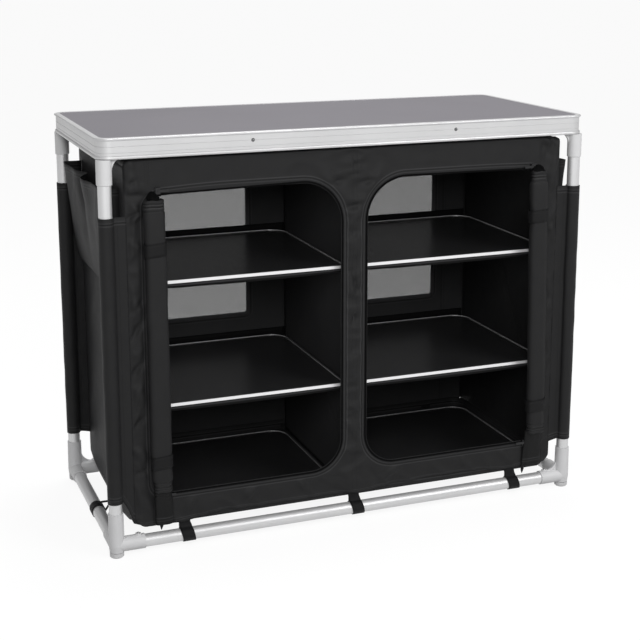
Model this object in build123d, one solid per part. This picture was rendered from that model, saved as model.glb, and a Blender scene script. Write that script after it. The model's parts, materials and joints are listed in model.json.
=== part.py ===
from build123d import *
import math
import os

os.makedirs("parts", exist_ok=True)

# Overall size, over the worktop's edge and from the floor to its top
width = 1000.0
depth = 440.0
height = 800.0

# Frame tubes and how they sit in their sockets
tube_diameter = 25.0
tube_wall = 1.2
edge_gap = 1.1
slide_gap = 0.2
seat_gap = 0.3
socket_wall = 1.7

# Edge rail of the worktop
rail_height = 38.5
rail_wall = 2.0
rail_corner = 28.0
bead_reach = 3.0
bead_height = 4.5
lower_bead_reach = 2.5
lower_bead_height = 6.4
groove_drops = (15.7, 27.0)
groove_depth = 0.5
lip_reach = 8.0
lip_thickness = 1.5

# Worktop board, crossbars and rivets
board_thickness = 6.4
board_rise = 1.0
board_gap = 0.1
crossbar_x = 208.0
crossbar_width = 24.0
crossbar_height = 16.0
crossbar_wall = 1.5
rivet_head_radius = 3.5
rivet_head_height = 2.0
rivet_shank_radius = 2.0
rivet_tail_radius = 3.0
rivet_tail_height = 1.2
rivet_hole_gap = 0.05

# Corner sockets under the worktop
top_socket_depth = 46.5
top_socket_ceiling = 3.4
top_block_reach = 20.0
top_fin_reach = 12.0
top_fin_drop = 24.0
fin_thickness = 4.0
socket_chamfer = 0.8

# Three-way base connectors and their foot caps
arm_bottom = 9.1
arm_length = 54.0
arm_seat_wall = 5.5
leg_seat_wall = 4.0
leg_seat_depth = 47.0
connector_swell = 0.6
base_fin_reach = 36.0
base_fin_rise = 20.0
foot_cap_height = 9.5
foot_cap_overhang = 1.0
foot_cap_bevel = 2.0
foot_groove = 1.0
foot_plug_radius = 8.0
foot_plug_height = 6.5

# Spring snap buttons in the front and back arms
button_from_end = 12.0
button_radius = 3.0
button_gap = 0.25
boss_radius = 6.0
boss_rise = 2.5
button_rise = 2.0
leaf_length = 22.0
leaf_width = 7.0
leaf_thickness = 0.8
leaf_drop = 0.9

# Cloth cupboard between the legs
cloth = 1.2
cover_leg_gap = 34.5
cover_top_gap = 4.5
floor_drop = 5.0
floor_edge_rise = 18.0
cover_shoulder = 11.0
hem_height = 55.0
hem_rise = 7.0
bottom_corner = 10.0
seam_gap = 0.1
side_hem_sag = 14.0
side_fold_depth = 5.0
side_fold_half_width = 50.0
side_fold_middle = 250.0
side_fold_gap = 10.0
side_fold_ridges = (-110.0, -30.0, 60.0)

# Door openings, zip tracks and zip sliders
door_inner_x = 28.0
door_side_strip = 43.0
door_bottom = 115.0
door_top_strip = 62.0
door_inner_corner = 95.0
door_outer_corner = 12.0
track_gap = 1.5
track_width = 5.0
track_thickness = 1.6
track_end_gap = 9.0
slider_end_gap = 19.0
slider_length = 9.0
slider_height = 12.0
slider_thickness = 3.4
pull_length = 20.0
pull_height = 5.0
pull_thickness = 1.4

# Back windows and their nets
window_inner_x = 90.0
window_side_strip = 86.0
window_bottom = 338.0
window_top_strip = 77.0
window_corner = 8.0
net_thickness = 0.8
net_overlap = 8.0
net_columns = 14
net_rows = 18
net_strand = 3.0

# Shelves, spaced down from the top of the cupboard
upper_shelf_drop = 232.0
shelf_bay = 240.0
shelf_inner_x = 10.0
shelf_side_gap = 7.0
shelf_end_gap = 13.9
shelf_back_corner = 40.0
shelf_front_corner = 15.0
rim_height = 6.0
rim_wall = 1.0
rim_lip = 4.0
rim_lip_thickness = 0.9
rim_gap = 0.1
sling_side_gap = 3.5
sling_hem_drop = 9.0
sling_hem_thickness = 2.4
sling_hem_sag = 4.0
sling_back_rise = 18.0
sling_back_gap = 1.5

# Leg sleeves and their wings
sleeve_bottom = 108.0
sleeve_top_gap = 102.0
sleeve_gap = 0.6
wing_thickness = 2.0

# Side pockets
pocket_front_gap = 39.0
pocket_back_gap = 19.0
pocket_height = 212.0
pocket_top_gap = 55.0
pocket_mouth = 32.0
pocket_foot = 2.6
pocket_fold_depth = 10.0
pocket_fold_y = 40.0
pocket_fold_half_width = 60.0

# Rolled doors and their ties
roll_width = 42.0
roll_depth = 24.0
roll_cloth = 1.5
roll_pitch = 2.6
roll_turns = 3
left_roll_in = 10.0
right_roll_in = 5.5
left_roll_lean = 3.0
right_roll_lean = 11.0
left_roll_ends = (9.0, -11.0)
right_roll_ends = (21.0, -4.0)
tie_from_bottom = 60.0
tie_from_top = 91.0
tie_width = 25.0

# Base straps
strap_places = (-349.0, 4.0, 360.0)
strap_width = 25.0
strap_thickness = 1.5
side_strap_y = -30.0
side_tie_width = 8.0
side_tab_height = 12.0

# Places that follow from the sizes above
tube_radius = tube_diameter / 2
bore_radius = tube_radius + slide_gap
socket_radius = bore_radius + socket_wall
leg_x = width / 2 - edge_gap - socket_radius
leg_y = depth / 2 - edge_gap - socket_radius
rail_bottom = height - rail_height
tongue_top = height - lip_thickness - board_gap
board_bottom = tongue_top - board_thickness
shelf_ledge_top = board_bottom - board_gap
rail_face_x = width / 2 - bead_reach
rail_face_y = depth / 2 - bead_reach
rail_inner_x = rail_face_x - rail_wall
rail_inner_y = rail_face_y - rail_wall
rail_inner_corner = rail_corner - bead_reach - rail_wall
rivet_height = height - groove_drops[0]
top_socket_top = rail_bottom - seat_gap
top_socket_bottom = top_socket_top - top_socket_depth
leg_top = top_socket_top - top_socket_ceiling - seat_gap
connector_bottom = foot_cap_height + foot_groove
foot_cap_radius = tube_radius + foot_cap_overhang
arm_axis_height = arm_bottom + socket_radius
arm_top = arm_axis_height + socket_radius
arm_seat = tube_radius + arm_seat_wall
leg_seat_height = arm_axis_height + tube_radius + leg_seat_wall
base_socket_top = leg_seat_height + leg_seat_depth
button_from_axis = arm_length - button_from_end
cover_face_y = leg_y + cloth / 2
cover_inner_y = cover_face_y - cloth
cover_half_width = leg_x - cover_leg_gap
cover_inner_x = cover_half_width - cloth
cover_top = rail_bottom - cover_top_gap
cover_bottom = hem_height - floor_drop
door_outer_x = cover_half_width - door_side_strip
door_top = cover_top - door_top_strip
track_end_x = door_outer_x - track_end_gap
slider_x = door_outer_x - slider_end_gap
window_outer_x = cover_half_width - window_side_strip
window_top = cover_top - window_top_strip
shelf_outer_x = cover_half_width - shelf_side_gap
shelf_width = shelf_outer_x - shelf_inner_x
shelf_depth = 2 * (cover_inner_y - shelf_end_gap)
floor_shelf_top = cover_bottom + cloth + seat_gap + rim_height
upper_shelf_top = cover_top - upper_shelf_drop
middle_shelf_top = upper_shelf_top - shelf_bay
shelf_tops = {"floor": floor_shelf_top, "middle": middle_shelf_top, "upper": upper_shelf_top}
sleeve_top = cover_top - sleeve_top_gap
pocket_front_y = -cover_inner_y + pocket_front_gap
pocket_back_y = cover_inner_y - pocket_back_gap
pocket_rim = cover_top - pocket_top_gap
pocket_bottom = pocket_rim - pocket_height
roll_y = -(cover_face_y + cloth + roll_depth / 2)


def group(shapes):
    solids = [solid for shape in shapes for solid in shape.solids()]
    return Compound(children=solids)


def save(node, shape):
    export_step(shape, f"parts/{node}.step")


def four_corners(shape):
    """The same piece at the four legs, mirrored across both middle planes."""
    right = {"back_right": shape, "front_right": mirror(shape, about=Plane.XZ)}
    left = {name.replace("right", "left"): mirror(piece, about=Plane.YZ) for name, piece in right.items()}
    return {**right, **left}


def left_and_right(shape):
    return {"right": shape, "left": mirror(shape, about=Plane.YZ)}


def block(x0, x1, y0, y1, z0, z1):
    return Pos((x0 + x1) / 2, (y0 + y1) / 2, (z0 + z1) / 2) * Box(x1 - x0, y1 - y0, z1 - z0)


def upright_tube(outer, inner, bottom, top):
    ring = Circle(outer) - Circle(inner)
    return extrude(Pos(0, 0, bottom) * ring, amount=top - bottom)


def front_sheet(outline, face_y, thickness):
    """A flat piece drawn in X and Z whose front face is at Y = face_y."""
    return extrude(Plane.XZ.offset(-face_y) * outline, amount=-thickness)


# Worktop

def rail_section():
    outer_bottom = 0.8
    bead_start = height - bead_height
    grooves = []
    for drop in reversed(groove_drops):
        z = height - drop
        grooves += [(0, z - groove_depth), (-groove_depth, z), (0, z + groove_depth)]
    face = Polyline(
        (outer_bottom, rail_bottom + lower_bead_height),
        (0, rail_bottom + lower_bead_height),
        *grooves,
        (0, bead_start),
        (outer_bottom, bead_start),
    )
    upper_bead = ThreePointArc(
        (outer_bottom, bead_start), (bead_reach, height - bead_height / 2), (outer_bottom, height)
    )
    inside = Polyline(
        (outer_bottom, height),
        (-lip_reach, height),
        (-lip_reach, height - lip_thickness),
        (-rail_wall, height - lip_thickness),
        (-rail_wall, shelf_ledge_top),
        (-lip_reach, shelf_ledge_top),
        (-lip_reach, shelf_ledge_top - lip_thickness),
        (-rail_wall, shelf_ledge_top - lip_thickness),
        (-rail_wall, rail_bottom),
        (outer_bottom, rail_bottom),
    )
    lower_bead = ThreePointArc(
        (outer_bottom, rail_bottom),
        (lower_bead_reach, rail_bottom + lower_bead_height / 2),
        (outer_bottom, rail_bottom + lower_bead_height),
    )
    return make_face(face + upper_bead + inside + lower_bead)


def table_rail():
    """The section carried round half of the worktop, then mirrored."""
    x = rail_face_x
    y = rail_face_y
    path = FilletPolyline((0, -y), (x, -y), (x, y), (0, y), radius=rail_corner - bead_reach)
    start = Plane(origin=(0, -y, 0), x_dir=(0, -1, 0), z_dir=(-1, 0, 0))
    half = sweep(start * rail_section(), path=path)
    rail = half + mirror(half, about=Plane.YZ)
    reach = rail_wall + rivet_tail_height
    for x in (-crossbar_x, crossbar_x):
        for side in (-1, 1):
            centre = Pos(x, side * (rail_face_y - reach / 2), rivet_height)
            rail -= centre * Rot(X=90) * Cylinder(rivet_shank_radius + rivet_hole_gap, 2 * reach)
    return rail


def table_board():
    """Board held under the rail's lip by a thinner edge, its face raised between the lips."""
    outline = RectangleRounded(
        2 * (rail_inner_x - board_gap), 2 * (rail_inner_y - board_gap), rail_inner_corner - board_gap
    )
    inset = lip_reach + board_gap
    raised = RectangleRounded(
        2 * (rail_face_x - inset), 2 * (rail_face_y - inset), rail_corner - bead_reach - inset
    )
    board = extrude(Pos(0, 0, board_bottom) * outline, amount=board_thickness)
    return board + extrude(Pos(0, 0, board_bottom) * raised, amount=board_thickness + board_rise)


def table_crossbar(x):
    """A pressed channel, open below, coped at its ends to pass under the rail's ledge."""
    half = rail_inner_y - board_gap
    bottom = board_bottom - crossbar_height
    wide = crossbar_width / 2
    bar = block(-wide, wide, -half, half, bottom, board_bottom)
    inner = wide - crossbar_wall
    end = half - rail_wall
    bar -= block(-inner, inner, -end, end, bottom, board_bottom - crossbar_wall)
    ledge = rail_face_y - lip_reach - board_gap
    notch_bottom = shelf_ledge_top - lip_thickness - board_gap
    bar -= block(-wide, wide, ledge, half, notch_bottom, board_bottom)
    bar -= block(-wide, wide, -half, -ledge, notch_bottom, board_bottom)
    hole = Pos(0, 0, rivet_height) * Rot(X=90) * Cylinder(rivet_shank_radius + rivet_hole_gap, depth)
    return Pos(x, 0, 0) * (bar - hole)


def table_rivet():
    """Turned about Z with its head up and the head's underside at Z = 0."""
    grip = rail_wall + board_gap + rail_wall
    profile = Polyline(
        (0, rivet_head_height),
        (0, -grip - rivet_tail_height),
        (rivet_tail_radius, -grip - rivet_tail_height),
        (rivet_tail_radius, -grip),
        (rivet_shank_radius, -grip),
        (rivet_shank_radius, 0),
        (rivet_head_radius, 0),
    )
    sphere = (rivet_head_radius**2 + rivet_head_height**2) / (2 * rivet_head_height)
    half_angle = math.asin(rivet_head_radius / sphere) / 2
    middle = (sphere * math.sin(half_angle), rivet_head_height - sphere * (1 - math.cos(half_angle)))
    head = ThreePointArc((rivet_head_radius, 0), middle, (0, rivet_head_height))
    return revolve(Plane.XZ * make_face(profile + head), axis=Axis.Z)


def table_rivets():
    rivets = []
    for x in (-crossbar_x, crossbar_x):
        rivets.append(Pos(x, rail_face_y, rivet_height) * Rot(X=-90) * table_rivet())
        rivets.append(Pos(x, -rail_face_y, rivet_height) * Rot(X=90) * table_rivet())
    return group(rivets)


def table_socket():
    """Socket of the back right leg: a barrel, a block inside the rail and one fin towards the middle."""
    barrel = Cylinder(socket_radius, top_socket_depth, align=(Align.CENTER, Align.CENTER, Align.MIN))
    barrel = chamfer(barrel.edges().sort_by(Axis.Z)[0], socket_chamfer)
    barrel = Pos(leg_x, leg_y, top_socket_bottom) * barrel
    fin_start = socket_radius - socket_chamfer
    corner = Polyline(
        (-socket_radius, top_socket_top - top_fin_drop),
        (-fin_start, top_socket_top - top_fin_drop),
        (-fin_start, top_socket_top),
        (-socket_radius - top_fin_reach, top_socket_top),
    )
    curve = ThreePointArc(
        (-socket_radius - top_fin_reach, top_socket_top),
        (-socket_radius - 0.3 * top_fin_reach, top_socket_top - 0.35 * top_fin_drop),
        (-socket_radius, top_socket_top - top_fin_drop),
    )
    fin = front_sheet(make_face(corner + curve), -fin_thickness / 2, fin_thickness)
    socket = barrel + Pos(leg_x, leg_y, 0) * fin
    inner = RectangleRounded(
        2 * (rail_inner_x - slide_gap), 2 * (rail_inner_y - slide_gap), rail_inner_corner - slide_gap
    )
    block_top = shelf_ledge_top - lip_thickness
    corner_block = extrude(Pos(0, 0, top_socket_top) * inner, amount=block_top - top_socket_top)
    corner_block &= block(
        leg_x - top_block_reach, width, leg_y - top_block_reach, depth, top_socket_top, block_top
    )
    socket += corner_block
    bore = upright_cylinder(bore_radius, top_socket_bottom, leg_top + seat_gap)
    return socket - Pos(leg_x, leg_y, 0) * bore


def upright_cylinder(radius, bottom, top):
    return extrude(Pos(0, 0, bottom) * Circle(radius), amount=top - bottom)


# Frame

def leg():
    return Pos(leg_x, leg_y, 0) * upright_tube(tube_radius, tube_radius - tube_wall, leg_seat_height, leg_top)


def lying_cylinder(radius, start, end):
    """A cylinder along -X at the height of the base tubes, from start to end."""
    centre = Pos(-(start + end) / 2, 0, arm_axis_height)
    return centre * Rot(Y=90) * Cylinder(radius, end - start)


def connector_blank():
    """Front right connector about its leg axis: arm A along -X with the fin, arm B along +Y."""
    profile = Polyline(
        (0, connector_bottom),
        (foot_cap_radius, connector_bottom),
        (socket_radius + connector_swell, arm_axis_height),
        (socket_radius, base_socket_top),
        (0, base_socket_top),
        close=True,
    )
    body = revolve(Plane.XZ * make_face(profile), axis=Axis.Z)
    arm = lying_cylinder(socket_radius, 0, arm_length)
    body += arm
    body += Rot(Z=-90) * arm
    fin_top = arm_top + base_fin_rise
    inside = arm_top - socket_chamfer
    web = Polyline(
        (-socket_radius, fin_top),
        (-tube_radius, fin_top),
        (-tube_radius, inside),
        (-base_fin_reach, inside),
        (-base_fin_reach, arm_top),
    )
    curve = ThreePointArc(
        (-base_fin_reach, arm_top),
        (-0.62 * socket_radius - 0.38 * base_fin_reach, arm_top + 0.3 * base_fin_rise),
        (-socket_radius, fin_top),
    )
    body += front_sheet(make_face(web + curve), -fin_thickness / 2, fin_thickness)
    return body


def snap_boss(arm_turn):
    boss = upright_cylinder(boss_radius, arm_axis_height + tube_radius, arm_top + boss_rise)
    boss = fillet(boss.edges().sort_by(Axis.Z)[-1], socket_chamfer)
    return Rot(Z=arm_turn) * Pos(-button_from_axis, 0, 0) * boss


def base_connector(quarters):
    """The same moulding turned about the leg, its front or back arm bossed and drilled for the button."""
    arm_turn = 0 if quarters % 2 == 0 else -90
    body = connector_blank() + snap_boss(arm_turn)
    body -= upright_cylinder(bore_radius, leg_seat_height - seat_gap, base_socket_top)
    bore = lying_cylinder(bore_radius, arm_seat, arm_length)
    body -= bore
    body -= Rot(Z=-90) * bore
    body -= upright_cylinder(foot_cap_radius + foot_groove, 0, connector_bottom)
    body -= upright_cylinder(foot_plug_radius + seat_gap, connector_bottom, connector_bottom + foot_plug_height)
    hole = upright_cylinder(button_radius + button_gap, arm_axis_height, base_socket_top)
    body -= Rot(Z=arm_turn) * Pos(-button_from_axis, 0, 0) * hole
    return Rot(Z=90 * quarters) * body


leg_places = {
    "front_right": (leg_x, -leg_y),
    "back_right": (leg_x, leg_y),
    "back_left": (-leg_x, leg_y),
    "front_left": (-leg_x, -leg_y),
}


def foot_cap():
    profile = Polyline(
        (0, 0),
        (foot_cap_radius - foot_cap_bevel, 0),
        (foot_cap_radius, foot_cap_bevel),
        (foot_cap_radius, foot_cap_height),
        (foot_plug_radius, foot_cap_height),
        (foot_plug_radius, connector_bottom + foot_plug_height),
        (0, connector_bottom + foot_plug_height),
        close=True,
    )
    return revolve(Plane.XZ * make_face(profile), axis=Axis.Z)


def base_tube(half_length):
    """A base tube along X, centred, at the height of the connector arms."""
    ring = Circle(tube_radius) - Circle(tube_radius - tube_wall)
    tube = extrude(Plane.YZ.offset(-half_length) * ring, amount=2 * half_length)
    return Pos(0, 0, arm_axis_height) * tube


def cross_tube(side):
    tube = base_tube(leg_x - arm_seat)
    for x in (-leg_x + button_from_axis, leg_x - button_from_axis):
        tube -= Pos(x, 0, 0) * upright_cylinder(button_radius + button_gap, arm_axis_height, base_socket_top)
    return Pos(0, side * leg_y, 0) * tube


def side_tube(side):
    return Pos(side * leg_x, 0, 0) * Rot(Z=90) * base_tube(leg_y - arm_seat)


def snap_button():
    """Back right button on its leaf, its domed head above the boss of the arm."""
    leaf_top = arm_axis_height + tube_radius - tube_wall - leaf_drop
    head_top = arm_top + boss_rise + button_rise
    pin = upright_cylinder(button_radius, leaf_top - leaf_thickness, head_top)
    pin = fillet(pin.edges().sort_by(Axis.Z)[-1], button_rise * 0.9)
    leaf = Pos(0, 0, leaf_top - leaf_thickness / 2) * Box(leaf_length, leaf_width, leaf_thickness)
    return Pos(leg_x - button_from_axis, leg_y, 0) * (pin + leaf)


# Cloth cupboard

def panel_outline():
    """Front or back of the cupboard in X and Z, its hem lifted between the base straps."""
    panel = Rectangle(2 * cover_half_width, cover_top - hem_height)
    panel = Pos(0, (cover_top + hem_height) / 2) * panel
    panel = fillet(panel.vertices().group_by(Axis.Y)[-1], cover_shoulder)
    panel = fillet(panel.vertices().group_by(Axis.Y)[0], bottom_corner)
    for start, end in zip(strap_places[:-1], strap_places[1:]):
        left = (start + strap_width / 2, hem_height)
        right = (end - strap_width / 2, hem_height)
        top = ((start + end) / 2, hem_height + hem_rise)
        panel -= make_face(ThreePointArc(left, top, right) + Line(right, left))
    return panel


def door_outline(margin):
    """Right door opening in X and Z, grown by margin, its inner corners round."""
    opening = Rectangle(door_outer_x - door_inner_x + 2 * margin, door_top - door_bottom + 2 * margin)
    opening = Pos((door_outer_x + door_inner_x) / 2, (door_top + door_bottom) / 2) * opening
    opening = fillet(opening.vertices().group_by(Axis.X)[0], door_inner_corner + margin)
    return fillet(opening.vertices().group_by(Axis.X)[-1], door_outer_corner + margin)


def front_strip(outline, x0, x1, z0, z1):
    """The part of the front cut between these sides, half a seam gap short of each."""
    width_in = x1 - x0 - seam_gap
    height_in = z1 - z0 - seam_gap
    window = Pos((x0 + x1) / 2, (z0 + z1) / 2) * Rectangle(width_in, height_in)
    return front_sheet(outline & window, -cover_face_y, cloth)


def front_panel():
    """Sewn from two side strips, a top, a bottom and a centre strip, and a gusset in each round corner."""
    opening = door_outline(0)
    outline = panel_outline() - opening - mirror(opening, about=Plane.YZ)
    seam_x = door_outer_x - door_outer_corner
    gusset_x = door_inner_x + door_inner_corner
    strips = [
        front_strip(outline, -seam_x, seam_x, door_top, height),
        front_strip(outline, -seam_x, seam_x, 0, door_bottom),
        front_strip(outline, -door_inner_x, door_inner_x, door_bottom, door_top),
    ]
    for low, high in ((door_bottom, door_bottom + door_inner_corner), (door_top - door_inner_corner, door_top)):
        gusset = front_strip(outline, door_inner_x, gusset_x, low, high)
        strips += left_and_right(gusset).values()
    strips += left_and_right(front_strip(outline, seam_x, width, 0, height)).values()
    return group(strips)


def window_outline(margin):
    window = RectangleRounded(
        window_outer_x - window_inner_x + 2 * margin, window_top - window_bottom + 2 * margin, window_corner
    )
    return Pos((window_outer_x + window_inner_x) / 2, (window_top + window_bottom) / 2) * window


def back_panel():
    window = window_outline(0)
    outline = panel_outline() - window - mirror(window, about=Plane.YZ)
    return front_sheet(outline, cover_inner_y, cloth)


def window_net():
    """Holed face behind the right window, its mesh of square gaps."""
    pitch_x = (window_outer_x - window_inner_x) / net_columns
    pitch_z = (window_top - window_bottom) / net_rows
    net = window_outline(net_overlap)
    gap = Rectangle(pitch_x - net_strand, pitch_z - net_strand)
    gaps = []
    for column in range(net_columns):
        for row in range(net_rows):
            x = window_inner_x + (column + 0.5) * pitch_x
            z = window_bottom + (row + 0.5) * pitch_z
            gaps.append(Pos(x, z) * gap)
    face = net.face()
    holes = [gap.face().outer_wire() for gap in gaps]
    net_face = Face(face.outer_wire(), holes)
    return front_sheet(net_face, cover_inner_y - net_thickness, net_thickness)


def side_wall_section(z, ridge, fold):
    """Plan of the right side wall at height z, with a ridge standing out by fold and a dip behind it."""
    half = side_fold_half_width
    bends = [
        (-cover_inner_y, 0),
        (ridge - half, 0),
        (ridge, fold),
        (ridge + half, -0.4 * fold),
        (ridge + 2 * half, 0),
        (cover_inner_y, 0),
    ]
    outer = [(cover_half_width + out, y) for y, out in bends]
    inner = [(cover_inner_x + out, y) for y, out in reversed(bends)]
    return Pos(0, 0, z) * make_face(Polyline(*outer, *inner, close=True))


def side_wall():
    """Right side wall: a fold runs up and back across it, and its lower edge sags."""
    lowest = hem_height - side_hem_sag
    low_ridge, middle_ridge, high_ridge = side_fold_ridges
    sections = [
        side_wall_section(lowest, low_ridge, 0),
        side_wall_section(side_fold_middle, middle_ridge, side_fold_depth),
        side_wall_section(pocket_bottom - side_fold_gap, high_ridge, 0),
        side_wall_section(cover_top - cover_shoulder, high_ridge, 0),
    ]
    wall = loft(sections, ruled=True)
    front = (-cover_inner_y, hem_height)
    back = (cover_inner_y, hem_height)
    edge = ThreePointArc(front, (0, lowest), back)
    below = Polyline(back, (cover_inner_y, 0), (-cover_inner_y, 0), front)
    return wall - extrude(Plane.YZ * make_face(edge + below), amount=width)


def roof_panel():
    """Top of the cupboard with a shoulder strip at each side, rolled over to meet the side wall."""
    x = cover_half_width
    r = cover_shoulder
    outer = Pos(0, cover_top - depth / 2) * Rectangle(2 * x, depth)
    outer = fillet(outer.vertices().group_by(Axis.Y)[-1], r)
    inner = Pos(0, cover_top - cloth - depth / 2) * Rectangle(2 * (x - cloth), depth)
    inner = fillet(inner.vertices().group_by(Axis.Y)[-1], r - cloth)
    arch = outer - inner
    middle = arch & Pos(0, cover_top) * Rectangle(2 * (x - r) - seam_gap, depth)
    shoulder = arch & Pos(x - r / 2 + seam_gap / 4, cover_top - r / 2) * Rectangle(r - seam_gap / 2, r)
    strips = [front_sheet(strip, -cover_inner_y, 2 * cover_inner_y) for strip in (middle, shoulder)]
    return group([strips[0], *left_and_right(strips[1]).values()])


def floor_panel():
    """Floor cloth with its front and back edges turned up behind the panels."""
    x = cover_inner_x - sling_side_gap
    y = cover_inner_y - seat_gap
    edge = cover_bottom + floor_edge_rise
    floor = block(-x, x, -y, y, cover_bottom, cover_bottom + cloth)
    floor += block(-x, x, -y, -y + cloth, cover_bottom, edge)
    floor += block(-x, x, y - cloth, y, cover_bottom, edge)
    return floor


def centre_divider():
    y = cover_inner_y - cloth - 2 * seat_gap
    return block(-cloth / 2, cloth / 2, -y, y, cover_bottom + cloth, cover_top - cloth)


def leg_sleeve():
    """Back right sleeve round its leg, with the flat wing that joins it to the cupboard."""
    inner = tube_radius + sleeve_gap
    wing = Pos((cover_half_width + leg_x - inner) / 2, leg_y)
    wing *= Rectangle(leg_x - inner - cover_half_width, wing_thickness)
    ring = Pos(leg_x, leg_y) * (Circle(inner + cloth) - Circle(inner))
    return extrude(Pos(0, 0, sleeve_bottom) * (ring + wing), amount=sleeve_top - sleeve_bottom)


def pocket_section(z, reach, fold, inset):
    """Plan of the right pocket at height z: reach from the wall, drawn in by fold at its slack place."""
    near = -cloth if inset else 0
    bends = [
        (near, pocket_front_y + inset),
        (reach - inset, pocket_front_y + inset),
        (reach - inset, pocket_fold_y - pocket_fold_half_width),
        (reach - fold - inset, pocket_fold_y),
        (reach - inset, pocket_fold_y + pocket_fold_half_width),
        (reach - inset, pocket_back_y - inset),
        (near, pocket_back_y - inset),
    ]
    points = [(cover_half_width + x, y) for x, y in bends]
    return Pos(0, 0, z) * make_face(Polyline(*points, close=True))


def side_pocket():
    """Right pocket: sewn flat to the wall at its foot and standing open at its rim."""
    outer = loft(
        [
            pocket_section(pocket_bottom, pocket_foot, 0, 0),
            pocket_section(pocket_rim, pocket_mouth, pocket_fold_depth, 0),
        ],
        ruled=True,
    )
    inner = loft(
        [
            pocket_section(pocket_bottom + cloth, pocket_foot, 0, cloth),
            pocket_section(pocket_rim, pocket_mouth, pocket_fold_depth, cloth),
        ],
        ruled=True,
    )
    return outer - inner


def roll_side(offset):
    """One face of the rolled cloth, as half circles joined by flats that draw in at each turn."""
    flat = (roll_width - roll_depth) / 2
    radius = (roll_depth - roll_cloth) / 2
    edges = []
    for turn in range(roll_turns):
        r = radius - turn * roll_pitch
        right = r + offset
        left = r - roll_pitch / 2 + offset
        centre = roll_pitch / 2
        edges.append(ThreePointArc((flat, right), (flat + right, 0), (flat, -right)))
        edges.append(Line((flat, -right), (-flat, -right)))
        low = (-flat, -right)
        high = (-flat, 2 * left - right)
        edges.append(ThreePointArc(low, (-flat - left, left - right), high))
        edges.append(Line(high, (flat, high[1])))
    return edges


def rolled_door(place):
    """A door rolled up beside its opening, seen from above as a flattened spiral of cloth."""
    outer = roll_side(roll_cloth / 2)
    inner = roll_side(-roll_cloth / 2)
    start = Line(inner[0] @ 0, outer[0] @ 0)
    end = Line(outer[-1] @ 1, inner[-1] @ 1)
    spiral = make_face([*outer, end, *inner, start])
    length = place["top"] - place["bottom"]
    roll = extrude(Pos(0, 0, -length / 2) * spiral, amount=length)
    return roll_place(place) * roll


def roll_place(place):
    length = place["top"] - place["bottom"]
    lean = math.degrees(math.atan(place["lean"] / length))
    return Pos(place["x"], roll_y, (place["top"] + place["bottom"]) / 2) * Rot(Y=lean)


def roll_ties(place):
    middle = (place["top"] + place["bottom"]) / 2
    band = SlotOverall(roll_width + 2 * cloth, roll_depth + 2 * cloth) - SlotOverall(roll_width, roll_depth)
    band = extrude(band, amount=tie_width / 2, both=True)
    heights = (place["bottom"] + tie_from_bottom, place["top"] - tie_from_top)
    return [roll_place(place) * Pos(0, 0, z - middle) * band for z in heights]


roll_left = {
    "x": left_roll_in - door_outer_x,
    "bottom": door_bottom + left_roll_ends[0],
    "top": door_top + left_roll_ends[1],
    "lean": -left_roll_lean,
}
roll_right = {
    "x": door_outer_x - right_roll_in,
    "bottom": door_bottom + right_roll_ends[0],
    "top": door_top + right_roll_ends[1],
    "lean": -right_roll_lean,
}


def zip_track():
    """Right zip track on the front panel, round the opening from above its roll to below it."""
    ring = door_outline(track_gap + track_width) - door_outline(track_gap)
    ring &= Pos(track_end_x / 2, height / 2) * Rectangle(track_end_x, height)
    return front_sheet(ring, -cover_face_y - track_thickness, track_thickness)


def zip_slider(z):
    """Right slider on its track, its pull lying along the zip towards the middle."""
    face = -cover_face_y - track_thickness - seat_gap
    back = -cover_face_y - seat_gap
    half = slider_height / 2
    half_track = track_width / 2 + seat_gap
    x = slider_x
    body = block(x - slider_length / 2, x + slider_length / 2, face - slider_thickness, face, z - half, z + half)
    for low, high in ((z - half, z - half_track), (z + half_track, z + half)):
        body += block(x - slider_length / 2, x + slider_length / 2, face, back, low, high)
    pull_face = face - slider_thickness
    pull = block(
        x - pull_length, x, pull_face - pull_thickness, pull_face, z - pull_height / 2, z + pull_height / 2
    )
    return body + pull


track_middle = track_gap + track_width / 2
slider_heights = {"top": door_top + track_middle, "bottom": door_bottom - track_middle}


# Shelves

def shelf_outline(inset):
    """Right column board in plan, drawn in by inset."""
    outline = Rectangle(shelf_width - 2 * inset, shelf_depth - 2 * inset)
    outline = fillet(outline.vertices().group_by(Axis.Y)[-1], shelf_back_corner - inset)
    outline = fillet(outline.vertices().group_by(Axis.Y)[0], shelf_front_corner - inset)
    return Pos((shelf_inner_x + shelf_outer_x) / 2, 0) * outline


def shelf_rim(top):
    bottom = top - rim_height
    rim = extrude(Pos(0, 0, bottom) * (shelf_outline(0) - shelf_outline(rim_wall)), amount=rim_height)
    lip = shelf_outline(0) - shelf_outline(rim_lip)
    rim += extrude(Pos(0, 0, bottom) * lip, amount=rim_lip_thickness)
    rim += extrude(Pos(0, 0, top - rim_lip_thickness) * lip, amount=rim_lip_thickness)
    return rim


def shelf_board(top):
    bottom = top - rim_height + rim_lip_thickness + rim_gap
    thickness = rim_height - 2 * (rim_lip_thickness + rim_gap)
    return extrude(Pos(0, 0, bottom) * shelf_outline(rim_wall + rim_gap), amount=thickness)


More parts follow.
